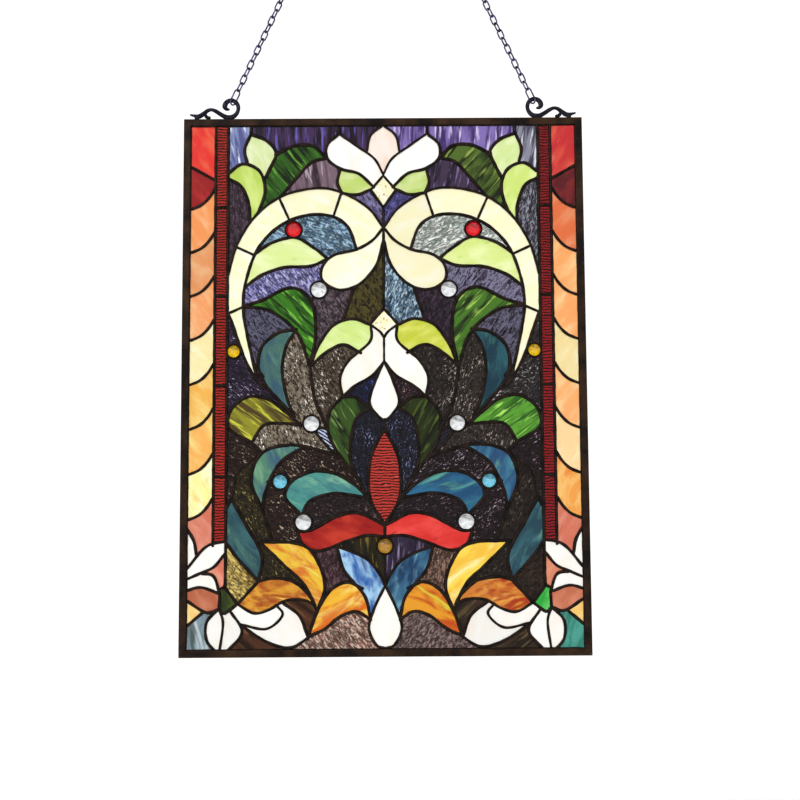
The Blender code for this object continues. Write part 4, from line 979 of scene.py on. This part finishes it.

# %% [markdown]
# ## Faceted jewels
#
# The jewels are pressed glass stones: a flat back, a girdle held by the ring of solder, and a crown
# of flat facets cut in rows, each row turned half a step from the last. Flat faces are what make
# them sparkle, so they are left unsmoothed. The glass is clear and nearly polished. Each facet also
# carries a share of painted light: a high share gives the full colour and a low share a painted
# shade in a deep tone, lighter on the lower side and the table.

# %% Cut stones
STONE_COLOURS = {
    "red": "#e80c1c", "amber": "#f4c400", "amber_centre": "#b8862c", "blue": "#78d0ec",
    "clear_high": "#f6f8fa", "clear_mid": "#f6f8fa", "clear_low": "#f6f8fa",
}
# Share of the stone's colour that is left in the painted shade of the darkest facets
PAINTED_SHADE_SHARE = 0.16
STONE_SIDES = 14
CROWN_TOP = 6.25
stone_glass = {}
for name, colour in STONE_COLOURS.items():
    finish = new_finish(f"pressed_{name}_jewel_glass", Transmission_Weight=0.95, IOR=1.5, Roughness=0.04)
    # The "depth" attribute is painted facet light: 1 gives the full colour, 0 a painted shade
    depth = add(finish, "ShaderNodeAttribute", {"attribute_name": "depth"})
    painted_shade_colour = (*(channel * PAINTED_SHADE_SHARE for channel in linear(colour)[:3]), 1.0)
    colour_with_painted_light = add(finish, "ShaderNodeMix", {"data_type": "RGBA"}, {6: painted_shade_colour, 7: linear(colour)},
               {"Factor": depth.outputs["Color"]})
    join_shader(finish, Base_Color=colour_with_painted_light.outputs[2])
    stone_glass[name] = finish


def cut_stone(u, z, radius):
    """Rings of radius and depth, each turned half a step; triangles between rings make the facets."""
    reach, depth = np.array([(radius + 0.2, 1.5), (radius + 0.2, -1.5), (radius - 0.9, -2.6),
                             (radius * 0.74, -4.7), (radius * 0.42, -CROWN_TOP)]).T[:, :, None]
    shift = np.array([0.0, 0.0, 0.5, 0.0, 0.5])
    turn = full_turn(STONE_SIDES) + shift[:, None] * 2 * np.pi / STONE_SIDES
    places = np.stack([u + reach * np.cos(turn), depth + 0 * turn, z + reach * np.sin(turn)], axis=2)
    side = np.arange(STONE_SIDES)
    after = (side + 1) % STONE_SIDES
    faces = [np.stack([side, after, STONE_SIDES + after, STONE_SIDES + side], axis=1)]
    for ring in range(1, len(shift) - 1):
        low, high = ring * STONE_SIDES, (ring + 1) * STONE_SIDES
        if shift[ring] < shift[ring + 1]:
            faces += [np.stack([low + side, high + side, low + after], axis=1),
                      np.stack([low + after, high + side, high + after], axis=1)]
        else:
            faces += [np.stack([low + side, high + side, high + after], axis=1),
                      np.stack([low + side, high + after, low + after], axis=1)]
    top = (len(shift) - 1) * STONE_SIDES
    faces += [cap_faces(0, STONE_SIDES, False), cap_faces(top, STONE_SIDES, True)]
    return places.reshape(-1, 3), faces


def faced_out(places, faces):
    """Turn every face whose normal looks towards the middle of a part that bulges everywhere."""
    middle = places.mean(axis=0)
    turned = []
    for block in faces:
        corners = places[block]
        normal = np.cross(corners[:, 1] - corners[:, 0], corners[:, 2] - corners[:, 0])
        inward = np.einsum("ij,ij->i", normal, corners.mean(axis=1) - middle) < 0
        block = block.copy()
        block[inward] = block[inward][:, ::-1]
        turned.append(block)
    return places, turned


def shade_facets(stone, u, z):
    """A share of painted light from 0 to 1 on each facet: painted lighter at the stone's lower side and its table.
    """
    polygons = stone.data.polygons
    middle, sizes = np.empty(len(polygons) * 3), np.empty(len(polygons), dtype=np.int64)
    polygons.foreach_get("center", middle)
    polygons.foreach_get("loop_total", sizes)
    middle = middle.reshape(-1, 3) / MM - np.array([u, 0.0, z + PANEL_FOOT])
    turn = np.arctan2(middle[:, 2], middle[:, 0])
    # Painted light: lighter facets low on the stone, a five-fold ripple round it and a random step per facet; the
    # table is painted light at 0.85
    share = 0.62 - 0.28 * np.sin(turn) + 0.22 * np.sin(5.0 * turn + 1.3) + random.uniform(-0.12, 0.12, len(turn))
    share = np.where(middle[:, 1] < middle[:, 1].min() + 0.25, 0.85, share)
    value = np.repeat(np.clip(share, 0.0, 1.0), sizes)
    # The painted facet light goes on every face corner under the name "depth"
    write_colours(stone.data, "depth", "CORNER", np.stack([value, value, value, np.ones_like(value)], axis=1))


for name, u, z, radius in jewel_places:
    kind = "jewel_" + ("amber" if name.startswith("amber") else name.split("_")[0])
    for word, side in (("_right", 1), ("_left", -1)) if u > 1.0 else (("", 1),):
        places, faces = faced_out(*cut_stone(side * u, z, radius))
        stone = make_piece(f"{name}_stone{word}", places, faces, stone_glass[name], kind, smooth=False)
        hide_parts(f"jewel_{name}{word}")
        shade_facets(stone, u * side, z)
print("jewels cut with", STONE_SIDES, "sides")

# %% [markdown]
# ## The channel
#
# The rim is a hard brass channel with a copper and black patina, bent to a C and cut at 45 degrees.
# Each bar is that section carried from one mitre to the next, and the mitres are left a hair apart
# so that the joint shows. Where the column's leads end on a bar, the glazier has tacked them to it
# with a drop of solder.

# %% The channel's bars
aged_channel = patina_finish("aged_brass_channel", "#191513", "#3a291d", 0.80, 0.36, 0.58, 30.0, 1.6, 0.12)
CHANNEL_SECTION = np.array([
    (0.0, -3.2), (0.25, -3.75), (0.8, -4.0), (7.2, -4.0), (7.9, -3.8), (8.1, -3.35), (7.9, -3.0), (1.1, -3.0),
    (1.1, 3.0), (7.9, 3.0), (8.1, 3.35), (7.9, 3.8), (7.2, 4.0), (0.8, 4.0), (0.25, 3.75), (0.0, 3.2),
])
MITRE_GAP = 0.12


def channel_bar(length, half, steps=40):
    """The section at even steps along a bar; its ends are cut back by its own distance from outside."""
    inset, depth = CHANNEL_SECTION.T
    along = np.linspace(-1.0, 1.0, steps)[:, None] * (length / 2 - inset - MITRE_GAP)
    return along, np.broadcast_to(half - inset, along.shape), np.broadcast_to(depth, along.shape)


def c_caps(first, turned):
    """The C-shaped end as squares: each place of the outer skin joined to the one on the inner skin."""
    faces = np.array([[2, 3, 6, 7], [3, 4, 5, 6], [0, 1, 2, 7], [8, 9, 12, 13], [9, 10, 11, 12],
                      [8, 13, 14, 15], [0, 7, 8, 15]]) + first
    return faces[:, ::-1] if turned else faces


def bars():
    """Four bars: each is laid out along its own length and then set on its side of the panel."""
    half_width, half_height = PANEL_WIDTH / 2, PANEL_HEIGHT / 2
    for word, length, half, place in (
        ("top", PANEL_WIDTH, half_height, lambda a, o: (a, half_height + o)),
        ("bottom", PANEL_WIDTH, half_height, lambda a, o: (-a, half_height - o)),
        ("right", PANEL_HEIGHT, half_width, lambda a, o: (o, half_height - a)),
        ("left", PANEL_HEIGHT, half_width, lambda a, o: (-o, half_height + a)),
    ):
        along, out, y = channel_bar(length, half)
        x, z = place(along, out)
        sides = len(CHANNEL_SECTION)
        faces = [tube_faces(len(along), sides), c_caps(0, True), c_caps((len(along) - 1) * sides, False)]
        yield word, np.stack([x, y, z], axis=2).reshape(-1, 3), faces


for word, places, faces in bars():
    bar = make_piece(f"channel_{word}", places, faces, aged_channel, "bronze_channel", smooth=False)
    if word == "top":
        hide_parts("frame")
TACK_OUT, TACK_INSET = 3.98, 6.4
tacks = [pool(side * (PANEL_WIDTH / 2 - 6.6), z, 2.6, TACK_OUT)
         for _, z in to_panel([(CARTOON_EDGE, low) for low in COLUMN_BARS]) for side in (-1, 1)]
tacks += [pool(side * u, z, 2.4, TACK_OUT) for u, _ in to_panel([(COLUMN_LEAD, 0), (STRIP_LEAD, 0)])
          for side in (-1, 1) for z in (TACK_INSET, PANEL_HEIGHT - TACK_INSET)]
make_piece("channel_solder_tacks", *gather(tacks), black_patina_solder, "dark_solder")

# %% [markdown]
# ## Cast scrolls
#
# Each top corner carries a small cast scroll. It is a few strokes of metal with a round section
# that swells and tapers, so each stroke here is a tube whose width is written with its places. Every
# stroke is drawn a little wider than written, and no thicker front to back than the casting.

# %% Scroll strokes as swelling tubes
SCROLL = [
    [(1.2, 45.5, 6.4), (2.5, 41, 5.2), (5.0, 35, 4.2), (4.5, 29, 7.9), (3.8, 25, 11.0), (3.2, 20.5, 12.1),
     (4.0, 15.5, 10.2), (4.4, 9.0, 6.0), (5.0, 3.5, 3.2), (5.2, -2.0, 3.0), (4.6, -6.6, 5.4), (3.8, -9.8, 10.4),
     (3.9, -10.0, 16.4), (4.3, -6.8, 21.3), (4.5, -1.8, 23.0), (5.0, 3.2, 20.8), (5.2, 5.3, 16.2),
     (3.5, 3.4, 12.8), (1.4, -0.4, 12.2)],
    [(3.4, 27.5, 6.6), (3.2, 26.2, 3.4), (3.4, 21.5, 2.0)],
    [(4.6, 40.0, 2.4), (4.6, 34.8, 2.4)],
    [(4.6, 5.0, 2.3), (4.6, -3.0, 2.3)],
]
HOOK_CENTRE = 177.0
SCROLL_HALF_DEPTH = 1.8
STROKE_SPREAD = 0.8
SCROLL_SIDES = 12
SCROLL_STEP = 0.7
aged_casting = patina_finish("aged_bronze_casting", "#15151d", "#2a2833", 0.85, 0.28, 0.48, 7.0, 0.9, 0.14)


def scroll_stroke(stroke, side):
    """An oval carried along the stroke: as wide as its written width, and pinched at both ends."""
    curve = even_steps(sweep_through(np.array(stroke, dtype=float)), SCROLL_STEP)
    width, line = curve[:, 0] + STROKE_SPREAD, curve[:, 1:]
    rounding = rounded_end(lengths_along(line), width, 0.12)
    turn = full_turn(SCROLL_SIDES)
    half = (width / 2 * rounding)[:, None] * np.cos(turn)
    depth = (np.minimum(SCROLL_HALF_DEPTH, width * 0.46) * rounding)[:, None] * np.sin(turn)
    places, faces = carried(line + np.array([HOOK_CENTRE, PANEL_HEIGHT]), half, depth)
    places[:, 2] = np.maximum(places[:, 2], PANEL_HEIGHT + 0.2)
    return (places, faces) if side > 0 else turned_over((places, faces))


for word, side in (("right", 1), ("left", -1)):
    strokes = [scroll_stroke(stroke, side) for stroke in SCROLL]
    scroll = make_piece(f"cast_scroll_{word}", *gather(strokes), aged_casting, "bronze_hook")
    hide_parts(f"hook_{word}")

# %% [markdown]
# ## The chain
#
# The chain is bent steel wire: each link is an oval ring, and each is turned a quarter from the last
# so that they lie flat in one another. The two runs climb from the scrolls' eyes to a ring at the
# peak. A link's wire is a circle carried round the oval; there are over eighty links, so each gets
# only a few dozen faces.

# %% Links on their two lines
steel_chain = patina_finish("oil_blackened_steel_wire", "#2a2638", "#6a6488", 0.85, 0.22, 0.42, 5.0, 0.8, 0.05)
WIRE = 1.9
LINK_PITCH = 9.6
LINK_WIDTH = 8.4
LINKS_A_SIDE = 41
FIRST_LINK, FIRST_LINK_WIDTH = 17.0, 10.8
LINK_TURN, FIRST_LINK_TURN = math.radians(45), math.radians(62)
PEAK_RING, PEAK_WIRE = 7.0, 2.2
EYE_X = HOOK_CENTRE - 4.5
PEAK_ANGLE = math.radians(40)
PEAK_MIDLINE = PEAK_RING - PEAK_WIRE / 2
PEAK_X = PEAK_MIDLINE * math.sin(PEAK_ANGLE)
PEAK_CENTRE = PEAK_WIRE - PEAK_RING
PEAK_Z = PEAK_CENTRE - PEAK_MIDLINE * math.cos(PEAK_ANGLE)
HOOK_WIRE_HALF = 2.2
EYE_SLACK = 1.5
CHAIN_REACH = FIRST_LINK + LINKS_A_SIDE * LINK_PITCH - HOOK_WIRE_HALF - EYE_SLACK - PEAK_WIRE / 2
TILT = math.asin((EYE_X - PEAK_X) / CHAIN_REACH)
EYE_Z = PEAK_Z - CHAIN_REACH * math.cos(TILT)


def wire_ring(length, width, wire, rings=18, sides=7):
    """A circle carried round an oval: two half circles of the width joined by straight sides."""
    turn = full_turn(rings) + np.pi / rings
    half_width, half_length = (width - wire) / 2, (length - wire) / 2
    out = np.stack([np.sin(turn), 0 * turn, np.cos(turn)], axis=1)
    centre = out * half_width
    centre[:, 2] += np.sign(out[:, 2]) * (half_length - half_width)
    round_wire = full_turn(sides)
    places = centre[:, None, :] + wire / 2 * (np.cos(round_wire)[None, :, None] * out[:, None, :])
    places[:, :, 1] += wire / 2 * np.sin(round_wire)[None, :]
    return places.reshape(-1, 3), [tube_faces(rings, sides, closed=True)[:, ::-1]]


def set_link(link, centre, direction, turn):
    """Turn the ring about its own length, lean its length to the run's direction, and move it there."""
    places, faces = link
    cosine, sine = math.cos(turn), math.sin(turn)
    spin = np.array([[cosine, -sine, 0.0], [sine, cosine, 0.0], [0.0, 0.0, 1.0]])
    lean = np.array([[direction[2], 0.0, direction[0]], [0.0, 1.0, 0.0], [-direction[0], 0.0, direction[2]]])
    return places @ (lean @ spin).T + centre - np.array([0.0, 0.0, PANEL_FOOT]), faces


links = []
for side in (1, -1):
    direction = np.array([-side * math.sin(TILT), 0.0, math.cos(TILT)])
    start = np.array([side * EYE_X, 0.0, EYE_Z]) - direction * (HOOK_WIRE_HALF + EYE_SLACK)
    links.append(set_link(wire_ring(FIRST_LINK + 2 * WIRE, FIRST_LINK_WIDTH, WIRE, 24),
                          start + direction * FIRST_LINK / 2, direction, -side * FIRST_LINK_TURN))
    for k in range(LINKS_A_SIDE):
        centre = start + direction * (FIRST_LINK + LINK_PITCH * (k + 0.5))
        turn = side * (-LINK_TURN if k % 2 else LINK_TURN)
        links.append(set_link(wire_ring(LINK_PITCH + 2 * WIRE - 0.1, LINK_WIDTH, WIRE), centre, direction, turn))
links.append(set_link(wire_ring(2 * PEAK_RING, 2 * PEAK_RING, PEAK_WIRE, 36, 10),
                      np.array([0.0, 0.0, PEAK_CENTRE]), np.array([0.0, 0.0, 1.0]), 0.0))
chain = make_piece("hanging_chain", *gather(links), steel_chain, "steel_chain")
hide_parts("chain")
print(len(links), "links and rings")

# %% [markdown]
# ## Light, floor and camera
#
# Stained glass is seen by the light behind it. The panel hangs before plain white, so a white world
# lights it from all round and shows through it, and one large soft lamp in front gives the metal its
# shine. The floor is pale and small, well below. The camera stands where the photograph was taken,
# a little below the panel's middle and looking slightly up.

# %% White surroundings
scene = bpy.context.scene
scene.view_settings.view_transform = "Standard"
world = bpy.data.worlds.new("white_surroundings")
scene.world = world
world.use_nodes = True
world.node_tree.nodes["Background"].inputs["Color"].default_value = (1.0, 1.0, 1.0, 1.0)
world.node_tree.nodes["Background"].inputs["Strength"].default_value = 1.12
floor_mesh = bpy.data.meshes.new("floor")
FLOOR_HALF, FLOOR_DROP = 1.1, 0.45
floor_z = PANEL_FOOT * MM - FLOOR_DROP
floor_corners = [(x * FLOOR_HALF, y * FLOOR_HALF, floor_z) for x, y in ((-1, -1), (1, -1), (1, 1), (-1, 1))]
floor_mesh.from_pydata(floor_corners, [], [(0, 1, 2, 3)])
floor = bpy.data.objects.new("floor", floor_mesh)
floor_mesh.materials.append(new_finish("matt_pale_floor_paint", Roughness=0.8, Base_Color=linear("#f2f2f0")))
scene.collection.objects.link(floor)


def soft_lamp(name, place, target, size, power):
    """A square area lamp that looks at a target."""
    lamp = bpy.data.lights.new(name, "AREA")
    lamp.size = size
    lamp.energy = power
    holder = bpy.data.objects.new(name, lamp)
    holder.location = place
    holder.rotation_euler = (Vector(target) - Vector(place)).to_track_quat("-Z", "Y").to_euler()
    scene.collection.objects.link(holder)


PANEL_MIDDLE = (0.0, 0.0, (PANEL_FOOT + PANEL_HEIGHT / 2) * MM)
soft_lamp("front_softbox", (-1.1, -1.6, 0.4), PANEL_MIDDLE, 0.9, 12.0)

# %% The camera
camera_data = bpy.data.cameras.new("camera")
camera_data.lens = 50.0
camera_data.sensor_width = 36.0
camera = bpy.data.objects.new("camera", camera_data)
camera.location = (0.0148, -1.2486, -0.8322)
yaw, pitch, roll = 0.0018, 0.085, -0.006
camera.rotation_euler = (math.pi / 2 + pitch, -roll, -yaw)
scene.collection.objects.link(camera)
scene.camera = camera
